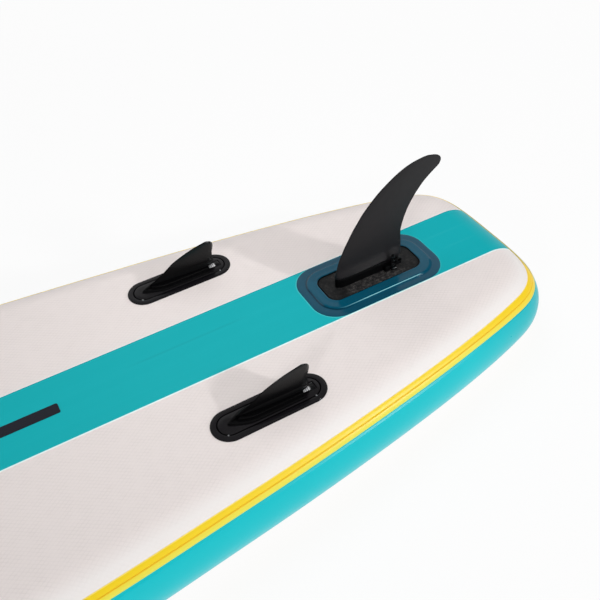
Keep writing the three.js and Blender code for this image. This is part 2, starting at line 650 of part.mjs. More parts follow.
// Carry handle: two glued patches, a webbing strap that arches away from the deck, and a
// padded grip.
{
  const PATCH_THICKNESS = 1.2, PATCH_X = 112;
  const STRAP_HALF_LENGTH = 140, STRAP_HALF_WIDTH = 19, STRAP_HALF_THICKNESS = 1;
  const ARCH_HALF_LENGTH = 84, ARCH_HEIGHT = 25;
  const GRIP_HALF_LENGTH = 56;
  for (const [tag, x] of [['front', -PATCH_X], ['rear', PATCH_X]]) {
    const patch = { x, y: 0, halfLength: 38, halfWidth: 32, radius: 14 };
    add('handle_patch_' + tag,
      roundPlate(patch, DECK_Z - GAP, DECK_Z - GAP - PATCH_THICKNESS, 4),
      MATERIAL.charcoalPatch);
  }

  const endZ = DECK_Z - GAP - PATCH_THICKNESS - GAP - STRAP_HALF_THICKNESS;
  const path = Array.from({ length: 17 }, (_, i) => {
    const x = -STRAP_HALF_LENGTH + 2 * STRAP_HALF_LENGTH * i / 16;
    const rise = Math.max(0, 1 - (Math.abs(x) / ARCH_HALF_LENGTH) ** 2.4);
    return [x, endZ - ARCH_HEIGHT * rise];
  });
  const upper = path.map(([x, z]) => [x, z + STRAP_HALF_THICKNESS]);
  const lower = path.map(([x, z]) => [x, z - STRAP_HALF_THICKNESS]).reverse();
  add('handle_webbing', sidePlate(upper.concat(lower), -STRAP_HALF_WIDTH, STRAP_HALF_WIDTH),
    MATERIAL.webbing);

  // Sleeve: the hollow follows the strap, and is a little larger than it.
  const squash = (v) => Math.sign(v) * Math.abs(v) ** 0.55;
  const ovalAt = ([x, z], halfWidth, halfHeight) => Array.from({ length: 12 }, (_, i) => {
    const angle = 2 * Math.PI * i / 12;
    return [x, halfWidth * squash(Math.cos(angle)), z + halfHeight * squash(Math.sin(angle))];
  });
  const middle = path.filter(([x]) => Math.abs(x) < GRIP_HALF_LENGTH);
  add('handle_grip', loft([
    ...middle.map((point) => ovalAt(point, 23, 8)),
    ...middle.slice().reverse().map((point) => ovalAt(point, 22.176, 2.9)),
  ], 'ring'), MATERIAL.grip);
}

// Bungee: four moulded anchors and one cord laced between them.
{
  const REAR_X = -640, REAR_Y = 170, FRONT_X = -930, FRONT_Y = 135;
  const CORD_DEPTH = 8.6;         // cord centre below the deck skin
  const ANCHORS = [
    ['rear_near', REAR_X, -REAR_Y], ['rear_far', REAR_X, REAR_Y],
    ['front_far', FRONT_X, FRONT_Y], ['front_near', FRONT_X, -FRONT_Y],
  ];
  for (const [tag, x, y] of ANCHORS) {
    const disc = turned([[0, -0.5], [31, -0.5], [31, -1.4], [29.5, -2.2], [0, -2.2]], 20);
    const lug = box([-9, 9], [-7, 7], [-15, -2]);
    const anchor = combine(disc, [lug], [crossPin(4.6, 40, 12, 0, 0, -CORD_DEPTH)]);
    anchor.rotateY(-rockerAngle(x)).translate(x, y, DECK_Z + rocker(x) - 0.7);
    add('bungee_anchor_' + tag, anchor, MATERIAL.anchor);
  }

  const path = [];
  const point = (x, y) => path.push([x, y, DECK_Z + rocker(x) - CORD_DEPTH]);
  // Evenly spaced points from a start up to, but without, an end.
  const run = (x0, y0, x1, y1, count) => {
    for (let i = 0; i < count; i++) {
      point(x0 + (x1 - x0) * i / count, y0 + (y1 - y0) * i / count);
    }
  };
  point(REAR_X, -REAR_Y - 26);
  run(REAR_X, -REAR_Y + 26, REAR_X, REAR_Y - 26, 4);
  point(REAR_X, REAR_Y - 26);
  point(REAR_X, REAR_Y + 18);
  point(REAR_X - 12, REAR_Y + 32);
  run(REAR_X - 32, REAR_Y + 34, FRONT_X + 25, FRONT_Y + 34, 5);
  point(FRONT_X + 10, FRONT_Y + 30);
  point(FRONT_X, FRONT_Y + 18);
  run(FRONT_X, FRONT_Y - 26, FRONT_X, -FRONT_Y + 26, 4);
  point(FRONT_X, -FRONT_Y + 26);
  point(FRONT_X, -FRONT_Y - 18);
  point(FRONT_X + 10, -FRONT_Y - 30);
  run(FRONT_X + 25, -FRONT_Y - 34, REAR_X - 32, -REAR_Y - 34, 5);
  point(REAR_X - 12, -REAR_Y - 32);
  point(REAR_X, -REAR_Y - 18);
  add('bungee_cord', rod(path, 3.2, 8, true), MATERIAL.cord);
}

// ---------------------------------------------------------------- leash and tow rings
// The ring's bar lies along Y at this place in the webbing: along X, and off the patch.
const BAR_X = 3, BAR_DEPTH = 5.4;

// Webbing round the bar, with a tail on the patch. Facing 1 is a loop below z whose ring
// points to +X; -1 is the same turned half round about Y.
function webbingLoop(x, z, facing) {
  const profile = [
    [8, 0], [-26, 0], [-26, 1.4], [-6, 1.6], ...arc(BAR_X, BAR_DEPTH, 6.2, 200, -200, 8),
  ].map(([along, depth]) => [x + facing * along, z - facing * depth]);
  const hole = crossPin(3.3, 40, 16, x + facing * BAR_X, 0, z - facing * BAR_DEPTH);
  return combine(sidePlate(profile, -11, 11), [], [hole]);
}
// D-ring held by that webbing, lying level.
function dRing(x, z, facing) {
  const halfWidth = 17, reach = 22, path = [];
  const barX = x + facing * BAR_X, barZ = z - facing * BAR_DEPTH;
  for (let i = 0; i <= 3; i++) path.push([barX, -halfWidth + 2 * halfWidth * i / 3, barZ]);
  for (let i = 1; i < 12; i++) {
    const angle = rad(90 - 180 * i / 12);
    const along = 2 + reach * Math.cos(angle);
    path.push([barX + facing * along, halfWidth * Math.sin(angle), barZ]);
  }
  return rod(path, 2.6, 8, true);
}

// Leash ring at the tail, on the deck.
{
  const LEASH_X = 1448, z = DECK_Z - 1.95;
  const patch = turned([[0, -GAP], [34, -GAP], [34, -1.2], [33, -1.6], [0, -1.6]], 28);
  add('leash_patch', patch.translate(LEASH_X, 0, DECK_Z), MATERIAL.charcoalPatch);
  add('leash_loop', webbingLoop(LEASH_X, z, 1), MATERIAL.webbing);
  add('leash_ring', dRing(LEASH_X, z, 1), MATERIAL.ring);
}
// Tow ring on the fin side of the nose, square to the skin there.
{
  const TOW_X = -1395, z = 2.95;
  const place = (geometry) => geometry
    .rotateY(-rockerAngle(TOW_X))
    .translate(TOW_X, 0, BOTTOM_Z + rocker(TOW_X));
  const patch = turned([[0, 1.45], [32, 1.45], [32, 2.1], [31, 2.6], [0, 2.6]], 28);
  add('tow_patch', place(patch), MATERIAL.towPatch);
  add('tow_loop', place(webbingLoop(0, z, -1)), MATERIAL.webbing);
  add('tow_ring', place(dRing(0, z, -1)), MATERIAL.ring);
}

// ---------------------------------------------------------------- inflation valve
// Through the deck skin: barrel with an outer flange, clamp nut inside, sprung plunger, cap.
// Profiles are [radius, z] with z from the deck skin's outer face, up into the board.
{
  const addTurned = (name, profile, look, segments) => add(
    name, turned(profile, segments).translate(VALVE_X, VALVE_Y, DECK_Z), look,
  );
  addTurned('valve_body', [
    [27, -0.35], [27, -2.6], [25.5, -3.6], [14, -3.6], [14, 19], [3.1, 19], [3.1, 21.5],
    [17.6, 21.5], [17.6, -0.35],
  ], MATERIAL.valve);
  addTurned('valve_nut', [[18, 1.6], [25, 1.6], [25, 7.5], [18, 7.5]], MATERIAL.valve, 16);
  addTurned('valve_plunger', [
    [0, 0.5], [5.2, 0.5], [5.2, 2.8], [2.6, 2.8], [2.6, 21.9], [9.5, 21.9], [9.5, 23.6],
    [0, 23.6],
  ], MATERIAL.plunger, 16);

  const TURNS = 4, STEPS = 40, COIL_RADIUS = 4.4, COIL_HEIGHT = 13.9;
  const coil = Array.from({ length: STEPS + 1 }, (_, i) => {
    const angle = 2 * Math.PI * TURNS * i / STEPS;
    return [
      VALVE_X + COIL_RADIUS * Math.cos(angle),
      VALVE_Y + COIL_RADIUS * Math.sin(angle),
      DECK_Z + 4.0 + COIL_HEIGHT * i / STEPS,
    ];
  });
  add('valve_spring', rod(coil, 0.6, 6, false), MATERIAL.spring);
  addTurned('valve_cap', [[0, -4], [26, -4], [26, -8.2], [24.5, -9.4], [0, -9.4]],
    MATERIAL.valve);
}

export default group;
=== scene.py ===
# Looks of an inflatable stand-up paddleboard lying fins up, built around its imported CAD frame.
# The tail points to +X, the nose to -X and the fin side to +Z; the deck side faces the floor.
# "Near" is -Y and "far" is +Y. Meshes are laid out in millimetres; shaders, lights and the
# camera are in metres.
import math

import bmesh
import bpy
import numpy as np
from mathutils import Matrix, Vector


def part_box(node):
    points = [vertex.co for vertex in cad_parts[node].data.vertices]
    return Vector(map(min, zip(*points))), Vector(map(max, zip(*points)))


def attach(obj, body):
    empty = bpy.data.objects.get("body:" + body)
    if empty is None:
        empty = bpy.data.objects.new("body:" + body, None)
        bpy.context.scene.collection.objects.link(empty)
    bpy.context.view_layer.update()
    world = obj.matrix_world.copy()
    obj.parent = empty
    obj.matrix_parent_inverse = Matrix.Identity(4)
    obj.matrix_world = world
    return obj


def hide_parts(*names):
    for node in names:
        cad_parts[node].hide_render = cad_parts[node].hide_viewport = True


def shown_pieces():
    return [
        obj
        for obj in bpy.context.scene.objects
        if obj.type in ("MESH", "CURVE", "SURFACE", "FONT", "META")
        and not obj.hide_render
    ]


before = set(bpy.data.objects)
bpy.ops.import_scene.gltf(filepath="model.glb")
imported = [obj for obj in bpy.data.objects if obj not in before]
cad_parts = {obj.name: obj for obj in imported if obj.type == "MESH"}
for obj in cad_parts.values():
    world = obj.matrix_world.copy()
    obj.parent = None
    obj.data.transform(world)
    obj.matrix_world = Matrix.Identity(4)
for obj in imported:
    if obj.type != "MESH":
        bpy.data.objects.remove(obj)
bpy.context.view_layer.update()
MM = 0.001

# ------------------------------------------------------------------ driving sizes
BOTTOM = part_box("bottom_skin")[1].z / MM       # outer face of the fin-side skin on the flat part
THICK = 150.0
DECK = BOTTOM - THICK
MID = (BOTTOM + DECK) / 2
RAIL_R = THICK / 2
# The nose falls away from ROCKER_START on, by ROCKER_DROP at HALF_LEN.
ROCKER_START, ROCKER_DROP, HALF_LEN = -500.0, 115.0, 1600.0
ROCKER_RUN = HALF_LEN + ROCKER_START
SKIN_END = 47.3                                # edge of each skin, degrees round the rail
TAPE_START, TAPE_END = 39.7, 55.5              # edges of the seam tape, degrees round the rail
STRIPE_HALF = 72.25

# Rounded rectangles: centre x, centre y, half length, half width, corner radius.
BOX_X, BOX_HALF_X, BOX_HALF_Y, BOX_CORNER = 1301.0, 97.5, 36.0, 20.0
FLANGE = 19.0
PATCH_SHAPE = (1300.2, 0, 132.6, 70.9, 48.0)
RIM_SHAPE = (BOX_X, 0, BOX_HALF_X + FLANGE, BOX_HALF_Y + FLANGE, BOX_CORNER + FLANGE)
OPENING_SHAPE = (BOX_X, 0.8, BOX_HALF_X, BOX_HALF_Y - 1.4, BOX_CORNER)
PATCH_TOP = 4.2                                # top of the patch above the skin

FIN_X = 1281.0                                 # origin of all three fins' own x
SIDE_X, SIDE_Y = 998.7, 178.3                  # centre of a side-fin plate
SIDE_HALF, SIDE_R = 100.9, 32.0
LATCH_X = FIN_X - 217.0
VALVE_X, VALVE_Y = 1412.0, 76.0
HANDLE_PATCH_X = 112
LEASH_X, TOW_X = 1448.0, -1395.0
RING_LIFT = 5.4                                # ring bar above the patch it is held to
ANCHORS = {"rear_near": (-640, -170), "rear_far": (-640, 170),
           "front_far": (-930, 135), "front_near": (-930, -135)}

# Half outline of the flat area, tail centre to nose centre: x, y, outward normal x, y.
HALF = np.array([
    (1524.99, 0, 1, 0), (1524.71, 50.03, 0.99967, 0.02565),
    (1523.5, 75.21, 0.99738, 0.07228), (1522.2, 88.76, 0.99177, 0.12803),
    (1520.87, 96.94, 0.98044, 0.19679), (1519.51, 102.7, 0.96336, 0.26821),
    (1518.11, 107.1, 0.94007, 0.34097), (1516.67, 110.65, 0.91009, 0.41441),
    (1515.16, 113.62, 0.87332, 0.48714), (1513.58, 116.21, 0.8298, 0.55806),
    (1511.87, 118.53, 0.77973, 0.62611), (1510, 120.68, 0.72403, 0.68977),
    (1507.87, 122.73, 0.66379, 0.74792), (1505.39, 124.74, 0.59982, 0.80013),
    (1502.4, 126.8, 0.53301, 0.84611), (1498.6, 128.98, 0.46469, 0.88547),
    (1493.43, 131.43, 0.39724, 0.91772), (1485.45, 134.55, 0.33594, 0.94188),
    (1469.66, 139.67, 0.29194, 0.95644), (1432.22, 150.44, 0.26247, 0.96494),
    (1384.75, 162.52, 0.23216, 0.97268), (1332.21, 174.3, 0.20674, 0.9784),
    (1274.51, 185.84, 0.18628, 0.9825), (1211.6, 197.22, 0.17101, 0.98527),
    (1145.12, 208.34, 0.15925, 0.98724), (1077.61, 218.85, 0.14835, 0.98893),
    (1009.34, 228.72, 0.13832, 0.99039), (944.62, 237.29, 0.12361, 0.99233),
    (871.18, 246.19, 0.11906, 0.99289), (795.03, 255.41, 0.1213, 0.99262),
    (723.89, 263.92, 0.11381, 0.9935), (655.38, 271.32, 0.10298, 0.99468),
    (584.2, 278.56, 0.09641, 0.99534), (516.56, 284.72, 0.08499, 0.99638),
    (448.89, 290.1, 0.07352, 0.99729), (381.19, 294.7, 0.06202, 0.99807),
    (313.46, 298.52, 0.05049, 0.99872), (245.7, 301.55, 0.03894, 0.99924),
    (177.93, 303.8, 0.02737, 0.99963), (110.15, 305.26, 0.01578, 0.99988),
    (42.27, 305.94, 0.00418, 0.99999), (-30.46, 305.96, -0.00211, 1),
    (-104.09, 305.61, -0.00764, 0.99997), (-176.26, 304.81, -0.01468, 0.99989),
    (-247.36, 303.49, -0.02282, 0.99974), (-317.55, 301.57, -0.03189, 0.99949),
    (-386.92, 299.02, -0.04179, 0.99913), (-455.47, 295.79, -0.0525, 0.99862),
    (-523.22, 291.84, -0.064, 0.99795), (-590.11, 287.14, -0.07633, 0.99708),
    (-656.1, 281.66, -0.08952, 0.99599), (-721.1, 275.36, -0.10363, 0.99462),
    (-785.01, 268.21, -0.11876, 0.99292), (-847.7, 260.2, -0.13499, 0.99085),
    (-909.02, 251.3, -0.15246, 0.98831), (-968.79, 241.51, -0.17132, 0.98522),
    (-1026.79, 230.81, -0.19174, 0.98145), (-1082.76, 219.23, -0.21392, 0.97685),
    (-1136.41, 206.8, -0.23809, 0.97124), (-1187.41, 193.58, -0.26451, 0.96438),
    (-1235.39, 179.66, -0.29342, 0.95598), (-1279.99, 165.18, -0.32507, 0.94569),
    (-1320.82, 150.32, -0.35968, 0.93308), (-1357.56, 135.32, -0.39734, 0.91767),
    (-1389.98, 120.44, -0.43804, 0.89896), (-1417.97, 105.97, -0.48156, 0.87641),
    (-1441.59, 92.2, -0.52747, 0.84958), (-1461.08, 79.34, -0.57511, 0.81807),
    (-1476.8, 67.59, -0.62368, 0.78168), (-1489.23, 57.03, -0.67225, 0.74033),
    (-1498.89, 47.69, -0.71983, 0.69415), (-1506.25, 39.53, -0.76553, 0.6434),
    (-1511.79, 32.47, -0.80875, 0.58815), (-1515.9, 26.39, -0.84867, 0.52893),
    (-1518.91, 21.15, -0.88486, 0.46586), (-1521.09, 16.63, -0.91696, 0.39898),
    (-1522.64, 12.67, -0.94463, 0.32815), (-1523.72, 9.16, -0.96748, 0.25296),
    (-1524.42, 5.95, -0.98494, 0.17292), (-1524.82, 2.94, -0.99611, 0.08807),
    (-1524.95, 0, -1, 0),
])


def rocker(x):
    """Height change of the hull at x."""
    run = np.clip((ROCKER_START - np.asarray(x, float)) / ROCKER_RUN, 0, None)
    return -ROCKER_DROP * run * run


def rocker_tilt(x):
    return math.atan(2 * ROCKER_DROP * (ROCKER_START - x) / ROCKER_RUN**2)


def refine(stations, steps):
    """Hermite points between the stations, with blended normals."""
    out = []
    for here, there in zip(stations[:-1], stations[1:]):
        p0, n0, p1, n1 = here[:2], here[2:], there[:2], there[2:]
        gap = np.linalg.norm(p1 - p0)
        t0, t1 = np.array([-n0[1], n0[0]]) * gap, np.array([-n1[1], n1[0]]) * gap
        for j in range(steps):
            s = j / steps
            point = ((2*s**3 - 3*s**2 + 1)*p0 + (s**3 - 2*s**2 + s)*t0
                     + (3*s**2 - 2*s**3)*p1 + (s**3 - s**2)*t1)
            normal = n0 * (1 - s) + n1 * s
            out.append([*point, *(normal / np.linalg.norm(normal))])
    out.append(list(stations[-1]))
    return np.array(out)


SIDE = refine(HALF, 3)
LOOP = np.vstack([SIDE, (SIDE[1:-1] * [1, -1, 1, -1])[::-1]])
LOOP_COUNT, SIDE_COUNT = len(LOOP), len(SIDE)


def on_rail(stations, degrees, offset):
    """Rail points at an angle from straight up (one, or one per station), offset outwards."""
    turn = np.radians(degrees)
    radius = RAIL_R + offset
    x = stations[:, 0] + stations[:, 2] * radius * np.sin(turn)
    y = stations[:, 1] + stations[:, 3] * radius * np.sin(turn)
    return np.stack([x, y, MID + radius * np.cos(turn) + rocker(x)], -1)


# ------------------------------------------------------------------ mesh helpers
def add_object(name, mesh, mat, sharp):
    piece = bpy.data.objects.new(name, mesh)
    bpy.context.scene.collection.objects.link(piece)
    tidy(piece, sharp)
    if mat is not None:
        mesh.materials.append(mat)
    return piece


def make(name, verts, faces, mat=None, sharp=35.0):
    """Object from points in millimetres."""
    mesh = bpy.data.meshes.new(name)
    verts = np.asarray(verts, float) * MM
    mesh.from_pydata([tuple(v) for v in verts], [], [tuple(int(i) for i in f) for f in faces])
    return add_object(name, mesh, mat, sharp)


def tidy(piece, sharp):
    """Merges doubles, drops stray geometry, turns faces out, shades smooth below an angle."""
    work = bmesh.new()
    work.from_mesh(piece.data)
    bmesh.ops.remove_doubles(work, verts=work.verts, dist=2e-6)
    bmesh.ops.dissolve_degenerate(work, edges=work.edges, dist=1e-6)
    bmesh.ops.recalc_face_normals(work, faces=work.faces)
    limit = math.radians(sharp)
    for face in work.faces:
        face.smooth = True
    for edge in work.edges:
        edge.smooth = len(edge.link_faces) == 2 and edge.calc_face_angle(0.0) <= limit
    work.to_mesh(piece.data)
    work.free()
    piece.data.update()


def grid_faces(rows, cols, start=0, wrap=False):
    faces = []
    for r in range(rows - 1):
        low, high = start + r*cols, start + (r + 1)*cols
        for c in range(cols if wrap else cols - 1):
            d = (c + 1) % cols
            faces.append((low + c, low + d, high + d, high + c))
    return faces


def loft(name, loops, mat=None, ring=False, sharp=35.0):
    """Closed loops with equal point counts, joined in order; ring joins the last to the first,
    otherwise both ends are capped."""
    count, last = len(loops[0]), (len(loops) - 1) * len(loops[0])
    verts = np.vstack([np.asarray(loop, float) for loop in loops])
    faces = grid_faces(len(loops), count, 0, True)
    if ring:
        faces += [(last + i, last + (i + 1) % count, (i + 1) % count, i) for i in range(count)]
    else:
        faces += [tuple(range(count)), tuple(range(last, last + count))]
    return make(name, verts, faces, mat, sharp)


CORNERS = ((1, 1), (-1, 1), (-1, -1), (1, -1))


def round_loop(shape, inset, z, seg, side):
    """Rounded rectangle; the straight sides are divided so that they can bend with the hull."""
    mid_x, mid_y, half_x, half_y, radius = shape
    half_x, half_y = half_x - inset, half_y - inset
    radius = max(min(radius - inset, half_x - 0.01, half_y - 0.01), 0.3)

    def point(corner, degrees):
        turn = math.radians(degrees)
        return np.array([mid_x + corner[0]*(half_x - radius) + radius*math.cos(turn),
                         mid_y + corner[1]*(half_y - radius) + radius*math.sin(turn)])
    out = []
    for i, corner in enumerate(CORNERS):
        out += [[*point(corner, 90*i + 90*j / seg), z] for j in range(seg + 1)]
        start, end = point(corner, 90*i + 90), point(CORNERS[(i + 1) % 4], 90*i + 90)
        out += [[*(start + (end - start) * j / side), z] for j in range(1, side)]
    return out


def stack(shape, profile, level, seg=10, side=4):
    """Rounded rectangles for a profile of (inset, height above level)."""
    return [round_loop(shape, inset, level + height, seg, side) for inset, height in profile]


def turned(name, profile, centre, seg=48, mat=None, sharp=35.0, dent=None):
    """Body of revolution from (radius, height); a profile that starts off the axis is closed.
    dent(radius, height, angle) is taken off the radius."""
    x, y, level = centre
    verts, faces = [], []
    count = len(profile)
    for k in range(seg):
        turn = 2 * math.pi * k / seg
        for radius, height in profile:
            if dent:
                radius -= dent(radius, height, turn)
            verts.append([x + radius*math.cos(turn), y + radius*math.sin(turn), level + height])
    for k in range(seg):
        m = (k + 1) % seg
        for i in range(count if profile[0][0] > 0 else count - 1):
            j = (i + 1) % count
            faces.append((k*count + i, m*count + i, m*count + j, k*count + j))
    return make(name, verts, faces, mat, sharp)


def rod(name, path, radius, sides=12, closed=False, mat=None):
    """Tube along a path; radius is one number or one per point."""
    path = np.asarray(path, float)
    count = len(path)
    radii = np.broadcast_to(radius, count)
    across = None
    loops = []
    for i in range(count):
        before = path[(i - 1) % count] if closed else path[max(i - 1, 0)]
        after = path[(i + 1) % count] if closed else path[min(i + 1, count - 1)]
        along = (after - before) / np.linalg.norm(after - before)
        if across is None:
            across = np.array([0, 0, 1.0]) if abs(along[2]) < 0.9 else np.array([1.0, 0, 0])
        across = across - along * (across @ along)
        across /= np.linalg.norm(across)
        third = np.cross(along, across)
        turns = [2*math.pi*k/sides for k in range(sides)]
        loops.append([path[i] + radii[i]*(math.cos(t)*across + math.sin(t)*third) for t in turns])
    return loft(name, loops, mat, ring=closed, sharp=60)


def bar(x, height, y_ends, radius, sides=24):
    """Rod along Y at a height above the skin's flat part."""
    return rod("bar", [[x, y, BOTTOM + height] for y in y_ends], radius, sides)


def outline_normals(points):
    """Outward normals of a counterclockwise outline."""
    total = 0
    for step in (np.roll(points, -1, 0) - points, points - np.roll(points, 1, 0)):
        normal = np.stack([step[:, 1], -step[:, 0]], -1)
        total = total + normal / np.linalg.norm(normal, axis=1)[:, None]
    return total / np.maximum(np.linalg.norm(total, axis=1), 1e-6)[:, None]


def side_plate(name, points, y0, y1, bevel, mat=None):
    """Plate from an outline in XZ between two Y planes, with bevelled rims."""
    points = np.asarray(points, float)
    x, z = points.T
    if np.sum(x*np.roll(z, -1) - np.roll(x, -1)*z) < 0:
        points = points[::-1]
    inner = points - outline_normals(points) * bevel
    levels = ((inner, y0), (points, y0 + bevel), (points, y1 - bevel), (inner, y1))
    return loft(name, [[[p[0], y, p[1]] for p in ring] for ring, y in levels], mat, sharp=30)


def spline(points, steps):
    """Closed Catmull-Rom curve."""
    points = np.array(points, float)
    count = len(points)
    out = []
    for i in range(count):
        p0, p1, p2, p3 = (points[(i + k) % count] for k in (-1, 0, 1, 2))
        for j in range(steps):
            t = j / steps
            out.append(0.5 * ((2*p1) + (-p0 + p2)*t + (2*p0 - 5*p1 + 4*p2 - p3)*t*t
                              + (-p0 + 3*p1 - 3*p2 + p3)*t**3))
    return out


def boolean(piece, others, operation, sharp):
    """Applies each of the others in turn and removes it."""
    for other in others:
        modifier = piece.modifiers.new("cut", "BOOLEAN")
        modifier.operation, modifier.solver, modifier.object = operation, "EXACT", other
        graph = bpy.context.evaluated_depsgraph_get()
        mesh = bpy.data.meshes.new_from_object(piece.evaluated_get(graph))
        piece.modifiers.clear()
        old = piece.data
        piece.data = mesh
        bpy.data.meshes.remove(old)
        bpy.data.objects.remove(other)
        tidy(piece, sharp)
    return piece


def cut(piece, *others, sharp=35.0):
    return boolean(piece, others, "DIFFERENCE", sharp)


def fuse(piece, *others, sharp=35.0):
    return boolean(piece, others, "UNION", sharp)


def join(name, parts, mat, sharp):
    """One object from several, without a boolean."""
    work = bmesh.new()
    for part in parts:
        work.from_mesh(part.data)
        bpy.data.objects.remove(part)
    mesh = bpy.data.meshes.new(name)
    work.to_mesh(mesh)
    work.free()
    return add_object(name, mesh, mat, sharp)


def cutter(x0, x1, y0, y1, low, high):
    """Box for cutting, with heights above the skin's flat part."""
    verts = [[x, y, BOTTOM + h] for x in (x0, x1) for y in (y0, y1) for h in (low, high)]
    return make("cutter", verts, [(0, 1, 3, 2), (4, 6, 7, 5), (0, 4, 5, 1), (2, 3, 7, 6),
                                  (0, 2, 6, 4), (1, 5, 7, 3)])


def place(piece, matrix):
    piece.data.transform(matrix)
    piece.data.update()
    return piece


def shift(x, y, z):
    """Translation given in millimetres."""
    return Matrix.Translation((x*MM, y*MM, z*MM))


def seat(piece, body, node, mat=None):
    """Hands a piece to the frame: the body it rides, the CAD node it replaces and, when given, its
    material.
    """
    if mat is not None:
        piece.data.materials.clear()
        piece.data.materials.append(mat)
    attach(piece, body)
    if node:
        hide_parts(node)


# ------------------------------------------------------------------ shader helpers
def operator(kind, swap=False):
    def apply(self, *other):
        return self.graph.math(kind, *((*other, self) if swap else (self, *other)))
    return apply


class Wire:
    """A shader output; every operation on it adds a Math node."""

    def __init__(self, graph, socket):
        self.graph, self.socket = graph, socket

    __add__ = operator("ADD")
    __sub__ = operator("SUBTRACT")
    __rsub__ = operator("SUBTRACT", swap=True)
    __mul__ = operator("MULTIPLY")
    __truediv__ = operator("DIVIDE")
    __pow__ = operator("POWER")
    __lt__ = operator("LESS_THAN")
    __gt__ = operator("GREATER_THAN")
    __abs__ = operator("ABSOLUTE")
    max = operator("MAXIMUM")
    sqrt = operator("SQRT")
    sin = operator("SINE")
    cos = operator("COSINE")
    sign = operator("SIGN")


class Graph:
    """Short names for building a node tree."""

    def __init__(self, owner):
        owner.use_nodes = True
        self.tree = owner.node_tree
        self.tree.nodes.clear()

    def add(self, kind, **settings):
        node = self.tree.nodes.new(kind)
        for key, value in settings.items():
            setattr(node, key, value)
        return node

    def feed(self, socket, value):
        """Puts a wire, a number or a colour into a socket."""
        if isinstance(value, Wire):
            self.tree.links.new(value.socket, socket)
        else:
            socket.default_value = (*value, 1) if isinstance(value, tuple) else value

    def out(self, node, key=0):
        return Wire(self, node.outputs[key])

    def math(self, kind, *values):
        node = self.add("ShaderNodeMath", operation=kind)
        for socket, value in zip(node.inputs, values):
            self.feed(socket, value)
        return self.out(node)

    def ramp(self, value, *stops):
        """Colour ramp through (position, grey or colour) stops."""
        node = self.add("ShaderNodeValToRGB")
        elements = node.color_ramp.elements
        elements.remove(elements[-1])
        for i, (position, tone) in enumerate(stops):
            element = elements.new(position) if i else elements[0]
            element.position = position
            element.color = (*tone, 1) if isinstance(tone, tuple) else (tone, tone, tone, 1)
        self.feed(node.inputs[0], value)
        return self.out(node)

    def span(self, value, start, end, low=0.0, high=1.0):
        """Straight step from low to high, sharper than a colour ramp's table allows."""
        node = self.add("ShaderNodeMapRange")
        for key, number in (("From Min", start), ("From Max", end),
                            ("To Min", low), ("To Max", high)):
            node.inputs[key].default_value = number
        self.feed(node.inputs[0], value)
        return self.out(node)

    def blend(self, factor, first, second):
        """Mix Shader of two shader wires."""
        node = self.add("ShaderNodeMixShader")
        for socket, value in zip(node.inputs, (factor, first, second)):
            self.feed(socket, value)
        return self.out(node)


class Shader(Graph):
    """A material with one Principled BSDF, textured in object space."""

    def __init__(self, name, rough, spec=0.5, metal=0.0):
        self.mat = bpy.data.materials.new(name)
        super().__init__(self.mat)
        self.output = self.add("ShaderNodeOutputMaterial")
        self.bsdf = self.add("ShaderNodeBsdfPrincipled")
        self.feed(self.output.inputs[0], self.out(self.bsdf))
        self.set("Roughness", rough)
        self.set("Specular IOR Level", spec)
        self.set("Metallic", metal)
        self.position = self.out(self.add("ShaderNodeTexCoord"), "Object")
        self.normal = None

    def set(self, key, value):
        self.feed(self.bsdf.inputs[key], value)

    def colour(self, value):
        self.set("Base Color", value)

    def rough(self, value, low, high):
        self.set("Roughness", self.span(value, 0.0, 1.0, low, high))

    def xyz(self):
        node = self.add("ShaderNodeSeparateXYZ")
        self.feed(node.inputs[0], self.position)
        return [self.out(node, i) for i in range(3)]

    def noise(self, scale, detail=3.0, rough=0.55, stretch=None):
        node = self.add("ShaderNodeTexNoise")
        for key, value in (("Scale", scale), ("Detail", detail), ("Roughness", rough)):
            node.inputs[key].default_value = value
        source = self.position
        if stretch:
            mapping = self.add("ShaderNodeMapping")
            mapping.inputs["Scale"].default_value = stretch
            self.feed(mapping.inputs[0], source)
            source = self.out(mapping)
        self.feed(node.inputs["Vector"], source)
        return self.out(node, "Fac")

    def mix(self, factor, first, second):
        node = self.add("ShaderNodeMix", data_type="RGBA", blend_type="MIX")
        for index, value in ((0, factor), (6, first), (7, second)):
            self.feed(node.inputs[index], value)
        return self.out(node, 2)

    def band(self, value, rise, fall):
        """1 between the rise (start, end) and the fall (start, end)."""
        return self.span(value, *rise) * self.span(value, *fall, 1.0, 0.0)

    def bump(self, height, strength, distance):
        """Adds a bump on top of the earlier ones; distance in metres."""
        node = self.add("ShaderNodeBump")
        node.inputs["Strength"].default_value = strength
        node.inputs["Distance"].default_value = distance
        self.feed(node.inputs["Height"], height)
        if self.normal is not None:
            self.feed(node.inputs["Normal"], self.normal)
        self.normal = self.out(node)
        self.set("Normal", self.normal)

    def diamond(self, pitch_x, pitch_y):
        """Height of a diamond emboss, pitches in millimetres."""
        x, y, _ = self.xyz()
        across = x * (math.pi / (pitch_x * MM))
        along = y * (math.pi / (pitch_y * MM))
        return (abs((across + along).sin()) * abs((across - along).sin())) ** 0.45

    def distance(self, shape):
        """Distance in metres outside a rounded rectangle centred on y = 0."""
        mid_x, _, half_x, half_y, radius = shape
        x, y, _ = self.xyz()
        x = (abs(x - mid_x * MM) - (half_x - radius) * MM).max(0.0)
        y = (abs(y) - (half_y - radius) * MM).max(0.0)
        return (x * x + y * y).sqrt() - radius * MM


def lin(*rgb):
    """Linear colour from 0-255 sRGB."""
    return tuple((v/255/12.92) if v/255 <= 0.04045 else ((v/255 + 0.055)/1.055)**2.4 for v in rgb)


def dim(colour, factor):
    return tuple(v*factor for v in colour)


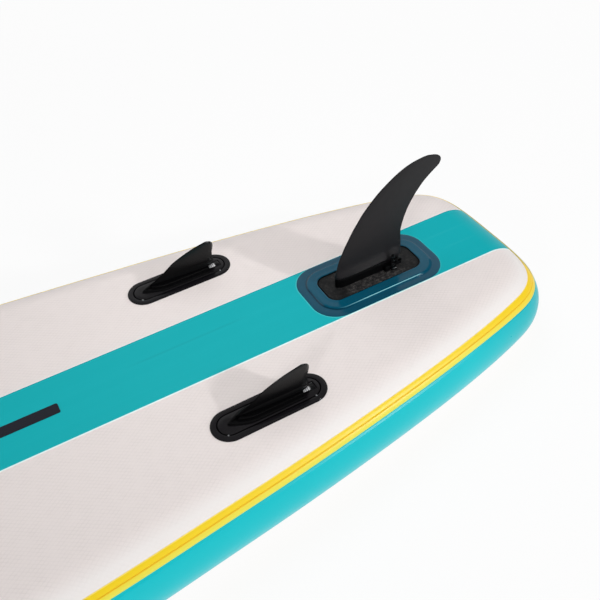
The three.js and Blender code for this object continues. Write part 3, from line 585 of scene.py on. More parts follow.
# ------------------------------------------------------------------ materials
def skin_material():
    sh = Shader("pvc_white_embossed", rough=0.5, spec=0.35)
    white = lin(232, 223, 220)
    grain = sh.noise(scale=900.0, detail=2.0)
    emboss = sh.diamond(10.4, 7.2)
    tone = sh.mix(sh.noise(scale=3.0, detail=4.0, rough=0.6) * 0.5, white, dim(white, 0.955))
    uneven = sh.ramp(sh.noise(scale=55.0), (0.35, 0.35), (0.65, 1.0))
    # painted shade: darker in the creases of the emboss
    tone = sh.mix(sh.ramp(emboss, (0.0, 1.0), (0.75, 0.0)) * uneven, tone, dim(white, 0.9))
    # painted light: a brighter white on the near side, where the skin rolls over towards the tape
    # and faces the light
    roll = ((BOTTOM - 0.8) * MM - sh.xyz()[2]) * 10.0
    roll = sh.ramp(roll, (0.0, 0.0), (0.08, 0.75)) * (sh.xyz()[1] < 0.0)
    tone = sh.mix(roll, tone, lin(236, 232, 230))
    # white margin along the stripe
    margin = sh.span(abs(sh.xyz()[1]), 0.0737, 0.0743, low=0.6, high=0.0)
    sh.colour(sh.mix(margin, tone, (0.92, 0.95, 0.95)))
    sh.rough(grain, low=0.42, high=0.56)
    sh.bump(emboss * uneven, strength=0.5, distance=0.0005)
    sh.bump(grain, strength=0.12, distance=0.0001)
    sh.bump(sh.noise(scale=14.0, detail=2.0), strength=0.25, distance=0.0012)
    return sh.mat


def stripe_material():
    sh = Shader("pvc_teal_film", rough=0.42, spec=0.14)
    teal = lin(14, 172, 179)
    streak = sh.noise(scale=1.0, detail=5.0, rough=0.65, stretch=(0.35, 46.0, 1.0))
    tone = sh.mix(sh.ramp(streak, (0.50, 0.0), (0.75, 0.35)), teal, lin(26, 180, 187))
    tone = sh.mix(sh.noise(scale=2.2) * 0.5, tone, dim(teal, 0.9))
    x, y, _ = sh.xyz()
    # faint, slightly wavy lengthwise lines, each along part of the board only
    wavy = y + (sh.noise(scale=2.0, detail=2.0) - 0.5) * 0.006
    dark, pale = lin(12, 138, 146), lin(96, 206, 204)
    # line's y, x its stops start from, where it fades in and out, colour, strength
    for line_y, start_x, fades, shade, strength in (
            (0.0228, 0.80, (0.03, 0.07, 0.22, 0.27), dark, 0.28),
            (0.0228, 1.40, (0.03, 0.06, 0.13, 0.16), pale, 0.16),
            (-0.0162, 1.40, (0.05, 0.08, 0.12, 0.14), pale, 0.16)):
        width = sh.ramp(abs(wavy - line_y), (0.0, 1.0), (0.0009, 0.0))
        length = sh.ramp(x - start_x, *zip(fades, (0.0, 1.0, 1.0, 0.0)))
        tone = sh.mix(width * length * strength, tone, shade)
    # a slightly paler outline round the patch of the fin box
    halo = sh.band(sh.distance(PATCH_SHAPE), rise=(0.0, 0.0003), fall=(0.0014, 0.0026)) * 0.3
    tone = sh.mix(halo, tone, lin(110, 216, 218))
    # painted shade: deeper towards the tail
    tone = sh.mix(sh.ramp(x - 1.0, (0.2, 0.0), (0.6, 1.0)), tone, lin(0, 169, 178))
    # the two cut edges of the film: a painted highlight on the near side, painted shade on the far
    # side
    tone = sh.mix(sh.span(y, -0.0716, -0.0712, low=1.0, high=0.0), tone, lin(206, 248, 248))
    tone = sh.mix(sh.span(y, 0.0706, 0.0709, low=0.0, high=0.45), tone, lin(6, 130, 140))
    sh.colour(tone)
    sh.rough(sh.noise(scale=700.0, detail=2.0), low=0.34, high=0.5)
    sh.bump(sh.diamond(5.6, 4.4), strength=0.14, distance=0.00014)
    sh.bump(streak, strength=0.1, distance=0.0004)
    sh.bump(sh.noise(scale=14.0, detail=2.0), strength=0.25, distance=0.0012)
    return sh.mat


def rail_material():
    sh = Shader("pvc_turquoise_wall", rough=0.3, spec=0.2)
    base = lin(15, 193, 202)
    tone = sh.mix(sh.noise(scale=4.0, detail=4.0, rough=0.6) * 0.7, base, dim(base, 0.88))
    # painted shade: darker at the tail
    tail = sh.ramp(sh.xyz()[0] - 1.0, (0.36, 0.0), (0.58, 1.0))
    sh.colour(sh.mix(tail, tone, dim(base, 0.8)))
    sh.rough(sh.noise(scale=60.0, detail=4.0), low=0.24, high=0.38)
    sh.bump(sh.noise(scale=420.0), strength=0.12, distance=0.00015)
    sh.bump(sh.noise(scale=9.0, detail=2.0), strength=0.3, distance=0.002)
    return sh.mat


def tape_material():
    """Gold inner half and paler outer half, read from the tape's "across" attribute."""
    sh = Shader("pvc_yellow_tape", rough=0.34, spec=0.26)
    across = sh.out(sh.add("ShaderNodeAttribute", attribute_name="across"), "Fac")
    gold, pale = lin(239, 207, 30), lin(233, 218, 68)
    tone = sh.ramp(across, (0.0, lin(250, 226, 120)), (0.05, gold), (0.44, gold),
                   (0.475, lin(228, 176, 20)), (0.525, lin(232, 186, 30)), (0.56, pale),
                   (0.92, lin(226, 225, 90)), (1.0, lin(150, 208, 124)))
    tone = sh.mix(sh.noise(scale=30.0, detail=4.0) * 0.2, tone, lin(236, 190, 20))
    # deeper towards the tail, then dull at its very end
    x = sh.xyz()[0] - 1.0
    tone = sh.mix(sh.ramp(x, (0.40, 0.0), (0.56, 0.6)), tone, lin(240, 200, 10))
    tone = sh.mix(sh.ramp(x, (0.566, 0.0), (0.574, 0.8)), tone, lin(140, 138, 50))
    sh.colour(tone)
    sh.rough(sh.noise(scale=200.0), low=0.28, high=0.42)
    sh.bump(sh.noise(scale=500.0, detail=2.0), strength=0.1, distance=0.0001)
    return sh.mat


def patch_material():
    sh = Shader("pvc_petrol_patch", rough=0.12, spec=0.56)
    zone = sh.ramp(sh.distance(RIM_SHAPE) + 0.01, (0.0085, 0.0), (0.0100, 1.0))
    base = sh.mix(zone, lin(0, 74, 95), lin(12, 68, 88))
    tone = sh.mix(sh.noise(scale=18.0, detail=4.0) * 0.5, base, lin(6, 76, 102))
    fleck = sh.ramp(sh.noise(scale=160.0, detail=4.0), (0.55, 0.0), (0.75, 0.2))
    tone = sh.mix(fleck, tone, lin(24, 92, 116))
    # edge of the raised step: a thin painted highlight along the near side, painted shade round its
    # nose end
    x, y, _ = sh.xyz()
    edge = sh.distance(RIM_SHAPE)
    near = y < -0.03
    x = x - 1.0
    pale = sh.band(edge, rise=(-0.0009, -0.0007), fall=(0.0002, 0.0004)) * near
    pale = pale * sh.ramp(x, (0.205, 0.0), (0.260, 0.9), (0.372, 1.0), (0.380, 0.0))
    tone = sh.mix(pale * 0.72, tone, lin(150, 222, 230))
    dull = sh.band(edge, rise=(-0.0026, -0.0020), fall=(0.0024, 0.0030)) * near
    sh.set("Specular IOR Level", 0.56 - dull * 0.52)
    dark = sh.band(edge, rise=(0.0007, 0.0010), fall=(0.0024, 0.0032))
    dark = dark * sh.ramp(x, (0.205, 1.0), (0.245, 0.0))
    sh.colour(sh.mix(dark * 0.75, tone, lin(4, 40, 56)))
    sh.rough(sh.noise(scale=90.0, detail=4.0), low=0.08, high=0.17)
    sh.bump(sh.diamond(3.6, 3.0), strength=0.06, distance=0.00008)
    sh.bump(sh.noise(scale=60.0), strength=0.1, distance=0.0002)
    return sh.mat


def plain_material(name, rgb, rough, spec, vary, grain, bump):
    """Blotchy colour with a fine grain; vary is the blotches' strength."""
    sh = Shader(name, rough, spec)
    base = lin(*rgb)
    blotch = sh.noise(scale=38.0, detail=5.0, rough=0.6) * (vary * 2)
    sh.colour(sh.mix(blotch, base, dim(base, 0.72)))
    sh.rough(sh.noise(scale=grain * 0.4, detail=4.0), low=max(0.03, rough - 0.07),
             high=rough + 0.09)
    sh.bump(sh.noise(scale=grain), strength=bump, distance=0.00012)
    return sh.mat


def fin_material():
    sh = Shader("fin_moulded_satin", rough=0.42, spec=0.24)
    blotch = sh.noise(scale=20.0, detail=5.0, rough=0.6) * 0.6
    tone = sh.mix(blotch, lin(19, 18, 20), lin(28, 26, 29))
    # faint scuffs
    scuff = sh.noise(scale=1.0, detail=6.0, rough=0.7, stretch=(30, 30, 140))
    sh.colour(sh.mix(sh.ramp(scuff, (0.66, 0.0), (0.78, 0.2)), tone, lin(52, 50, 52)))
    sh.rough(sh.noise(scale=120.0, detail=4.0), low=0.34, high=0.5)
    sh.bump(sh.noise(scale=1500.0, detail=2.0), strength=0.12, distance=0.00006)
    return sh.mat


def floor_of_box_material():
    sh = Shader("fin_box_textured", rough=0.6, spec=0.3)
    texture = sh.noise(scale=170.0, detail=6.0, rough=0.72)
    tone = sh.ramp(texture, (0.38, lin(26, 25, 25)), (0.5, lin(74, 71, 70)),
                   (0.62, lin(138, 132, 129)))
    blotch = sh.noise(scale=90.0, rough=0.6)
    tone = sh.mix(sh.ramp(blotch, (0.4, 0.45), (0.6, 0.0)), tone, lin(24, 21, 23))
    # painted shade: darker towards both ends of the recess
    end = abs(sh.xyz()[0] - 1300.0 * MM)
    tone = sh.mix(sh.ramp(end, (0.050, 0.0), (0.068, 0.74)), tone, lin(14, 12, 13))
    # painted shade: the moat under the rim of the patch stays dark
    low = sh.xyz()[2] - (BOTTOM + 2.2) * MM
    tone = sh.mix(sh.ramp(low + 0.001, (0.0010, 1.0), (0.0012, 0.0)), tone, lin(2, 7, 9))
    sh.colour(tone)
    sh.rough(texture, low=0.45, high=0.75)
    sh.bump(texture, strength=0.6, distance=0.0008)
    sh.bump(sh.noise(scale=900.0, detail=2.0), strength=0.3, distance=0.0002)
    return sh.mat


def webbing_material():
    sh = Shader("webbing_black", rough=0.8, spec=0.25)
    x, y, _ = sh.xyz()
    pitch = 0.0011
    weave = (x * (math.pi / pitch)).sin() * (y * (math.pi / pitch)).sin()
    base = lin(22, 22, 24)
    sh.colour(sh.mix((weave + 1.0) * 0.5, dim(base, 0.6), dim(base, 1.9)))
    sh.rough(sh.noise(scale=300.0), low=0.7, high=0.9)
    sh.bump(weave, strength=0.5, distance=0.0004)
    sh.set("Sheen Weight", 0.2)
    return sh.mat


def cord_material():
    sh = Shader("shock_cord_braid", rough=0.75, spec=0.25)
    x, y, z = sh.xyz()
    pitch = 0.0016
    braid = (((x + y + z) * (math.pi / pitch)).sin()
             * ((x - y - z) * (math.pi / pitch)).sin())
    fleck = sh.ramp(sh.noise(scale=260.0, detail=1.0), (0.62, 0.0), (0.64, 1.0))
    tone = sh.mix(fleck, lin(18, 18, 20), lin(64, 150, 158))
    sh.colour(sh.mix((braid + 1.0) * 0.25, tone, lin(6, 6, 7)))
    sh.bump(braid, strength=0.6, distance=0.0006)
    return sh.mat


def foam_material():
    """Grey foam with lengthwise grooves."""
    sh = Shader("foam_grooved", rough=0.85, spec=0.25)
    pitch = 0.004
    groove = abs((sh.xyz()[1] * (math.pi / pitch)).sin())
    blotch = sh.noise(scale=120.0, detail=4.0) * 0.6
    tone = sh.mix(blotch, lin(112, 126, 134), lin(84, 96, 104))
    # painted shade at the bottoms of the grooves
    sh.colour(sh.mix(sh.ramp(groove, (0.0, 0.75), (0.3, 0.0)), tone, lin(52, 60, 66)))
    sh.rough(sh.noise(scale=200.0), low=0.75, high=0.95)
    sh.bump(groove, strength=0.7, distance=0.0009)
    sh.bump(sh.noise(scale=1400.0, detail=2.0), strength=0.4, distance=0.0002)
    return sh.mat


def metal_material(name, rgb, rough):
    """Metal brushed across X."""
    sh = Shader(name, rough, metal=1.0)
    base = lin(*rgb)
    sh.colour(sh.mix(sh.noise(scale=90.0, detail=5.0), base, dim(base, 0.82)))
    brushed = sh.noise(scale=1.0, detail=4.0, stretch=(900, 90, 90))
    sh.rough(brushed, low=rough - 0.08, high=rough + 0.1)
    sh.bump(sh.noise(scale=1.0, stretch=(2600, 260, 260)), strength=0.12, distance=0.00006)
    return sh.mat


def latch_material():
    """Black tab with a painted highlight on the ribs of the -Y part of its pad."""
    sh = Shader("latch_tab_ribbed", rough=0.2, spec=0.3)
    x, y, z = sh.xyz()
    zone = abs(x - (LATCH_X - 0.2) * MM) < 6.2 * MM
    rib = (((x - LATCH_X * MM) + 7.0 * MM) * (2 * math.pi / (3.5 * MM))).cos() > -0.2
    high = z > (BOTTOM + 3.1) * MM
    half = (y - y.sign() * (SIDE_Y * MM)) < 0.6 * MM
    glint_breakup = sh.ramp(sh.noise(scale=400.0), (0.3, 0.7), (0.6, 1.0))
    # painted highlight on the ribs, broken up by noise
    pale = (zone * high) * (rib * 0.6 + 0.3) * half * glint_breakup
    sh.colour(sh.mix(pale, lin(9, 9, 11), lin(226, 226, 228)))
    sh.rough(sh.noise(scale=300.0), low=0.24, high=0.36)
    sh.bump(sh.noise(scale=900.0, detail=2.0), strength=0.08, distance=0.00006)
    return sh.mat


def plate_material():
    """Side-fin plate: satin rim, painted shade in the groove round it, near-black rails in the
    middle.
    """
    sh = Shader("nylon_plate_black", rough=0.14, spec=0.42)
    x, y, z = sh.xyz()
    dx = (abs(x - SIDE_X * MM) - (SIDE_HALF - SIDE_R) * MM).max(0.0)
    dy = abs(y) - SIDE_Y * MM
    inset = SIDE_R * MM - (dx * dx + dy * dy).sqrt()
    groove = (inset > 9.7 * MM) * (inset < 12.4 * MM)
    groove = groove * (z < (BOTTOM + 2.0) * MM)
    rails = z > (BOTTOM + 3.1) * MM
    blotch = sh.noise(scale=38.0, detail=5.0, rough=0.6) * 0.6
    tone = sh.mix(blotch, lin(19, 17, 20), lin(13, 12, 14))
    # painted shade in the groove; the rails are near black
    sh.colour(sh.mix(groove.max(rails), tone, lin(8, 8, 9)))
    sh.set("Specular IOR Level", (1.0 - groove) * (1.0 - rails * 0.72) * 0.42)
    sh.rough(sh.noise(scale=260.0, detail=4.0), low=0.1, high=0.2)
    sh.bump(sh.noise(scale=1100.0), strength=0.06, distance=0.0001)
    return sh.mat


def blade_material():
    """Side-fin blade: near black with painted shade at the root, satin and lighter towards the tip,
    with a painted highlight on the upper trailing edge.
    """
    sh = Shader("nylon_blade_black", rough=0.2, spec=0.2)
    x, _, z = sh.xyz()
    height = z - BOTTOM * MM
    # painted shade: the dark part ends along a line that falls towards the trailing edge
    edge = height + (x - (FIN_X - 250.0) * MM) * 0.22
    satin_and_painted_light = sh.ramp(edge, (0.014, 0.0), (0.023, 0.1), (0.029, 0.55), (0.044, 0.8), (0.062, 1.0))
    blotch = sh.noise(scale=30.0, detail=5.0, rough=0.6) * 0.6
    tone = sh.mix(blotch, lin(17, 17, 18), lin(12, 12, 13))
    tone = sh.mix(satin_and_painted_light, lin(8, 8, 9), tone)
    # painted highlight along the upper trailing edge
    rim = (x > (FIN_X - 211.6) * MM) * (height > 0.043)
    sh.colour(sh.mix(rim * 0.7, tone, lin(84, 82, 80)))
    sh.set("Specular IOR Level", satin_and_painted_light * 0.22 + 0.06)
    sh.rough(sh.noise(scale=110.0, detail=4.0), low=0.2, high=0.3)
    sh.bump(sh.noise(scale=900.0), strength=0.06, distance=0.0001)
    return sh.mat


MATS = {
    "latch": latch_material(), "skin": skin_material(), "stripe": stripe_material(),
    "rail": rail_material(), "tape": tape_material(), "patch": patch_material(),
    "fin": fin_material(), "floor": floor_of_box_material(), "web": webbing_material(),
    "cord": cord_material(), "foam": foam_material(), "plate": plate_material(),
    "blade": blade_material(),
    "steel": metal_material("stainless_ring", (205, 207, 210), rough=0.2),
    "spring": metal_material("spring_wire", (190, 192, 196), rough=0.28),
}
# key: name, sRGB colour, roughness, specular, blotch strength, grain scale, bump strength
PLAIN = {
    "gloss": ("nylon_gloss_black", (8, 8, 9), 0.15, 0.26, 0.3, 260.0, 0.05),
    "matte": ("nylon_matte_black", (5, 5, 6), 0.5, 0.08, 0.3, 700.0, 0.2),
    "strip": ("strip_charcoal_film", (33, 34, 43), 0.62, 0.2, 0.25, 700.0, 0.3),
    "wall": ("pvc_inner_wall", (214, 210, 205), 0.6, 0.3, 0.1, 400.0, 0.3),
    "thread": ("polyester_threads", (238, 236, 228), 0.85, 0.2, 0.1, 1200.0, 0.8),
    "black_patch": ("pvc_black_patch", (30, 30, 33), 0.5, 0.3, 0.3, 500.0, 0.35),
    "valve": ("valve_moulding", (42, 44, 48), 0.42, 0.4, 0.2, 500.0, 0.2),
    "plunger": ("valve_plunger_moulding", (206, 208, 210), 0.4, 0.4, 0.1, 500.0, 0.15),
    "grip": ("grip_sleeve_foam", (38, 38, 41), 0.85, 0.2, 0.3, 1100.0, 0.7),
}
MATS.update({key: plain_material(*row) for key, row in PLAIN.items()})


# ------------------------------------------------------------------ hull
def tape_edge(x):
    """Angle of the tape's outer edge: the tape is a little wider round the tail."""
    share = np.clip((np.asarray(x, float) - 1340.0) / 190.0, 0, 1)
    return TAPE_END + 2.7 * share * share * (3 - 2 * share)


def hull_sheet(name, angles, outer, inner, mat, panel=False):
    """Thin closed sheet between two offsets from the skin, at angles round the rail.
    A panel also spans the board from its first angle; otherwise that edge gets a rim."""
    rows = 10
    count = len(angles)
    verts, faces = [], []
    inner_start = count * LOOP_COUNT
    for start, offsets in ((0, outer), (inner_start, inner)):
        for angle, offset in zip(angles, np.broadcast_to(offsets, count)):
            verts.extend(on_rail(LOOP, angle, offset))
        faces += grid_faces(count, LOOP_COUNT, start, True)

    def rim(first):
        for k in range(LOOP_COUNT):
            a, b = first + k, first + (k + 1) % LOOP_COUNT
            faces.append((a, b, inner_start + b, inner_start + a))
    rim((count - 1) * LOOP_COUNT)
    if not panel:
        rim(0)
        return make(name, verts, faces, mat, 50)
    for start in (0, inner_start):
        # rows across the board between mirrored stations
        ids = np.zeros((SIDE_COUNT, rows + 1), int)
        for j in range(SIDE_COUNT):
            a, b = start + j, start + (LOOP_COUNT - j) % LOOP_COUNT
            ids[j, 0], ids[j, rows] = a, b
            for r in range(1, rows):
                if j in (0, SIDE_COUNT - 1):
                    ids[j, r] = a
                else:
                    verts.append(verts[a] * (1 - r / rows) + verts[b] * (r / rows))
                    ids[j, r] = len(verts) - 1
        for j in range(SIDE_COUNT - 1):
            for r in range(rows):
                quad = (ids[j, r], ids[j + 1, r], ids[j + 1, r + 1], ids[j, r + 1])
                corners = tuple(dict.fromkeys(quad))
                if len(corners) > 2:
                    faces.append(corners)
    return make(name, verts, faces, mat, 50)


def skins():
    angles = np.linspace(0, SKIN_END, 15)
    piece = hull_sheet("fin_side_skin", angles, 0.0, -1.2, MATS["skin"], panel=True)
    seat(piece, "board", "bottom_skin")
    piece = hull_sheet("deck_side_skin", 180 - angles, 0.0, -1.2, MATS["skin"], panel=True)
    hole = [[[VALVE_X + 18.4*math.cos(t), VALVE_Y + 18.4*math.sin(t), z]
             for t in (2*math.pi*k/48 for k in range(48))] for z in (DECK - 5, DECK + 6)]
    seat(cut(piece, loft("cutter", hole), sharp=50), "board", "deck_skin")


def side_wall():
    angles = [48.2, 52, 56.2, 58.4, 58.9, 60, *np.linspace(64, 116, 14),
              120, 121.1, 121.6, 123.8, 128, 131.8]
    # sunk where the tapes cover it, raised between them
    lift = [-0.05 if (a < 58.6 or a > 121.4) else 0.42 for a in angles]
    piece = hull_sheet("side_wall_band", angles, lift, -1.2, MATS["rail"])
    seat(piece, "board", "outer_side_wall")


# Tape section, thin at both edges with a shallow groove along its middle:
# share of the way across, thickness.
TAPE = [(0.0, 0.12), (0.03, 0.62), (0.08, 0.9), (0.25, 1.05), (0.42, 1.1), (0.465, 1.0),
        (0.49, 0.55), (0.51, 0.5), (0.535, 0.9), (0.58, 1.0), (0.75, 0.98), (0.92, 0.85),
        (0.97, 0.6), (1.0, 0.12)]


def seam_tapes():
    reach = tape_edge(LOOP[:, 0]) - TAPE_START
    angles = [TAPE_START + reach * share for share, _ in TAPE]
    thick = [t for _, t in TAPE]
    for side, rows in (("fin", angles), ("deck", [180 - a for a in angles])):
        piece = hull_sheet(f"seam_tape_{side}_side", rows, thick, 0.02, MATS["tape"])
        # share of the way across the tape, measured round the rail
        points = np.array([v.co for v in piece.data.vertices]) / MM
        x = points[:, 0]
        cosine = np.clip(np.abs(points[:, 2] - rocker(x) - MID) / RAIL_R, 0, 1)
        turn = np.degrees(np.arccos(cosine))
        share = np.clip((turn - TAPE_START) / (tape_edge(x) - TAPE_START), 0, 1)
        attribute = piece.data.attributes.new("across", "FLOAT", "POINT")
        attribute.data.foreach_set("value", share.astype(np.float32))
        node = "bottom_seam_tape" if side == "fin" else "deck_seam_tape"
        seat(piece, "board", node)


def centre_stripe():
    """Band of constant width along the board, rolled over the tail and the nose."""
    ys = [-STRIPE_HALF, *np.linspace(-STRIPE_HALF + 1.2, STRIPE_HALF - 1.2, 24), STRIPE_HALF]
    widest = int(np.argmax(SIDE[:, 1]))
    tail, nose = SIDE[:widest + 1], SIDE[widest:][::-1]

    def roll(stations, y, radius):
        points = []
        for angle in np.linspace(38.6, 0, 14):
            turn = math.radians(angle)
            rail_y = stations[:, 1] + stations[:, 3] * radius * math.sin(turn)
            rail_x = stations[:, 0] + stations[:, 2] * radius * math.sin(turn)
            k = np.argsort(rail_y)
            x = float(np.interp(abs(y), rail_y[k], rail_x[k]))
            points.append([x, y, MID + radius * math.cos(turn) + float(rocker(x))])
        return points
    verts = []
    for lift in (0.42, 0.02):
        radius = RAIL_R + lift
        for y in ys:
            start, end = roll(tail, y, radius), roll(nose, y, radius)
            flat = [[x, y, MID + radius + float(rocker(x))]
                    for x in np.linspace(start[-1][0], end[-1][0], 92)[1:-1]]
            column = start + flat + end[::-1]
            verts += column
    rows, cols = len(ys), len(column)
    under = rows * cols
    faces = grid_faces(rows, cols) + grid_faces(rows, cols, under)
    for r in range(rows - 1):
        for c in (0, cols - 1):
            a, b = r*cols + c, (r + 1)*cols + c
            faces.append((a, b, under + b, under + a))
    for c in range(cols - 1):
        for r in (0, rows - 1):
            a = r*cols + c
            faces.append((a, a + 1, under + a + 1, under + a))
    piece = make("centre_stripe_film", verts, faces, MATS["stripe"], 50)
    seat(piece, "board", "centre_stripe")


def keel_line():
    start, end = 330, 711
    profile = [(0, 0.44), (0, 0.95), (0.15, 1.15), (0.4, 1.2)]
    shape = ((start + end) / 2, 0, (end - start) / 2, 10.8, 3.2)
    piece = loft("keel_line_film", stack(shape, profile, BOTTOM, 6, 6), MATS["strip"])
    seat(piece, "board", "keel_strip")


skins()
side_wall()
seam_tapes()
centre_stripe()
keel_line()


# ------------------------------------------------------------------ centre fin box
# Profiles are (inset, height above the skin).
def box_patch():
    """Patch draped over the box's flange, with a lip round the opening."""
    top = PATCH_TOP
    loops = []
    for shape, profile in (
            (PATCH_SHAPE, [(0, 0.46), (0.0, 0.85), (0.25, 1.1), (0.8, 1.2)]),
            (RIM_SHAPE, [(-9.0, 1.22), (-4.2, 1.24), (-2.4, 1.3), (-1.7, 1.5), (-1.2, 1.95),
                         (-0.75, 2.6), (-0.35, 3.2), (0.1, top - 0.5), (0.7, top - 0.18),
                         (1.5, top - 0.03), (2.6, top)]),
            (OPENING_SHAPE, [(-11.5, top - 0.05), (-6.0, top - 0.28), (-4.1, top - 0.05),
                             (-2.7, top), (-1.7, top - 0.15), (-1.1, top - 0.45),
                             (-0.8, top - 0.85), (-0.9, top - 1.0), (-3.0, top - 1.0)]),
            (RIM_SHAPE, [(2.4, top - 0.9), (1.4, top - 1.2), (0.6, 0.46)])):
        loops += stack(shape, profile, BOTTOM, 14, 5)
    piece = loft("fin_box_patch_drape", loops, MATS["patch"], ring=True, sharp=40)
    seat(piece, "board", "fin_box_patch")


def box_tray():
    loops = stack(RIM_SHAPE, [(3.0, 0.46), (3.0, PATCH_TOP - 1.3)], BOTTOM, 10, 3)
    loops += stack(OPENING_SHAPE, [
        (-4.0, PATCH_TOP - 1.15), (-1.6, PATCH_TOP - 1.15), (-1.2, 2.7), (-0.8, 0.95), (1.3, 0.9),
        (1.6, 2.25), (2.0, 2.6), (7.4, 2.7), (8.2, 2.8), (14.0, 2.85)], BOTTOM, 10, 3)
    piece = loft("fin_box_tray", loops, MATS["floor"], sharp=40)
    seat(piece, "board", "fin_box")


def box_channel():
    """Channel that holds the fin's foot: an elliptical end towards the nose, square at the tail."""
    start, end, half, nose = FIN_X - 52.6, FIN_X + 86, 8.8, 17.0

    def outline(inset, z):
        turns = [math.pi/2*k/14 for k in range(1, 15)]
        side = [[start + inset + (nose - inset) * (1 - math.cos(t)), (half - inset) * math.sin(t)]
                for t in turns]
        side += [[start + nose + (end - 1.6 - start - nose) * k / 6, half - inset]
                 for k in range(1, 7)]
        side += [[end - inset, half - 1.6]]
        return [[start + inset, 0, z], *([x, y, z] for x, y in side),
                *([x, -y, z] for x, y in side[::-1])]
    profile = [(0, 1.2), (0, 5.0), (0, 14.3), (0.75, 14.55), (0.75, 15.35), (0, 15.6), (0, 20.6),
               (0.35, 21.5), (1.0, 22.0)]
    loops = [outline(inset, BOTTOM + h) for inset, h in profile]
    piece = loft("fin_box_channel", loops, MATS["matte"], sharp=30)

    def slots():
        """T-shaped slot, open at the tail end."""
        return (cutter(FIN_X - 30.4, end + 5, -6.6, 6.6, 5.9, 10.6),
                cutter(FIN_X - 44.4, end + 5, -4.6, 4.6, 10.0, 27))
    # room for the lever on the near side, then the block beside it
    cut(piece, *slots(), cutter(FIN_X + 49, end + 5, -12.5, -4, 5.9, 27), sharp=30)
    block = stack((FIN_X + 50.6, -11.2, 5.4, 4.6, 1.6),
                  [(0, 1.6), (0, 12.2), (0.5, 13.2), (1.4, 13.6)], BOTTOM, 5, 2)
    fuse(piece, loft("block", block), sharp=30)
    # the block reaches into the slot, so the slot is cut again
    cut(piece, *slots(), sharp=30)
    seat(piece, "board", None)


box_patch()
box_tray()
box_channel()

# ------------------------------------------------------------------ centre fin
# Edges of the fin: x from FIN_X, height above the skin.
LEADING = np.array([
    (-55.5, 0), (-54.2, 22.0), (-52.6, 28.5), (-48.1, 44.0), (-44.3, 56.2), (-39.4, 67.8),
    (-35.6, 75.2), (-32.1, 82.8), (-27.8, 89.8), (-23.8, 97.0), (-19.7, 104.1), (-15.4, 111.1),
    (-10.9, 117.8), (-5.8, 124.3), (-1.2, 131.1), (3.5, 137.7), (9.0, 144.0), (14.9, 150.0),
    (20.7, 156.1), (27.0, 161.9), (33.4, 167.7), (40.2, 173.2), (47.5, 178.5), (55.2, 183.7),
    (63.3, 188.8), (71.5, 193.7), (80.5, 198.3), (90.6, 202.5), (102.3, 206.2), (116.2, 208.9),
    (134.6, 210.1)])
TRAILING = np.array([
    (87.4, 0), (87.7, 46.5), (86.6, 65.7), (86.9, 74.8), (88.5, 83.2), (91.0, 91.2),
    (93.3, 99.2), (96.4, 106.9), (99.5, 114.4), (103.3, 121.5), (107.5, 128.6), (112.0, 135.4),
    (116.6, 142.2), (122.1, 148.5), (127.4, 155.0), (133.6, 161.0), (140.4, 166.7),
    (147.7, 172.3), (155.6, 177.6), (163.3, 182.9), (166.6, 189.9), (166.4, 194.5),
    (164.5, 198.9), (158.5, 204.0), (150.1, 207.3), (142.5, 209.2), (134.6, 210.1)])
CHORD = 0.5 * (1 - np.cos(np.linspace(0, math.pi, 19)))
FOIL = 5 * (0.2969*np.sqrt(CHORD) - 0.126*CHORD - 0.3516*CHORD*CHORD + 0.2843*CHORD**3
            - 0.1036*CHORD**4) / 0.5


def edge_at(table, height, blur=0.0):
    """x of an edge at a height, averaged over blur millimetres to both sides."""
    levels = np.clip(height + np.linspace(-blur, blur, 5), table[0, 1], table[-1, 1])
    return float(np.mean(np.interp(levels, table[:, 1], table[:, 0])))


def section(start, end, half, blunt, y, height):
    """One level of a fin: a blend of a foil (blunt 0) and a block with rounded ends (1)."""
    length = max(end - start, 1e-3)
    inward = np.minimum(CHORD, 1 - CHORD) * length
    radius = max(half, 0.3)
    block = np.where(inward < radius, np.sqrt(np.clip(1 - (1 - inward / radius)**2, 0, 1)), 1.0)
    widths = np.maximum(half * (FOIL * (1 - blunt) + block * blunt), 0.22)
    xs = FIN_X + start + length * CHORD
    z = BOTTOM + height
    return ([[x, y + w, z] for x, w in zip(xs, widths)]
            + [[x, y - w, z] for x, w in zip(xs[::-1], widths[::-1])])


def centre_fin():
    # T-shaped foot and collar: start x, end x, half width, bluntness, height
    rows = [(-29.4, 85.5, 6.1, 1, 6.4), (-29.4, 85.5, 6.1, 1, 9.6),
            (-43.4, 85.5, 4.1, 1, 9.9), (-43.4, 85.5, 4.1, 1, 22.3),
            (-52.9, 88.6, 8.4, 0.5, 22.35), (-53.3, 88.7, 9.1, 0.42, 22.9),
            (-53.3, 88.6, 9.0, 0.38, 23.9)]
    # root fillet: height, half width
    for height, half in ((26, 8.5), (28.5, 7.8), (31, 7.0), (33.5, 6.2), (36, 5.5), (38, 5.05),
                         (40, 4.85)):
        blunt = 0.5 * (1 - (height - 24) / 16)**1.5
        rows.append((edge_at(LEADING, height), 88, half, blunt, height))
    for height in [*np.arange(44, 180, 4.0), *np.arange(180, 206, 1.6),
                   206, 207, 208, 208.8, 209.4, 209.8, 210.0]:
        half = 4.75 - 3.0 * (height / 210)**1.25
        if height > 203:
            half *= math.sqrt(max(0.02, 1 - ((height - 203) / 7.2)**2))
        rows.append((edge_at(LEADING, height, 1.5), edge_at(TRAILING, height, 1.5), half, 0,
                     height * 1.013))
    loops = [section(*row[:4], 0, row[4]) for row in rows]
    piece = loft("centre_fin_blade", loops, MATS["fin"], sharp=40)
    seat(piece, "centre_fin", "centre_fin")


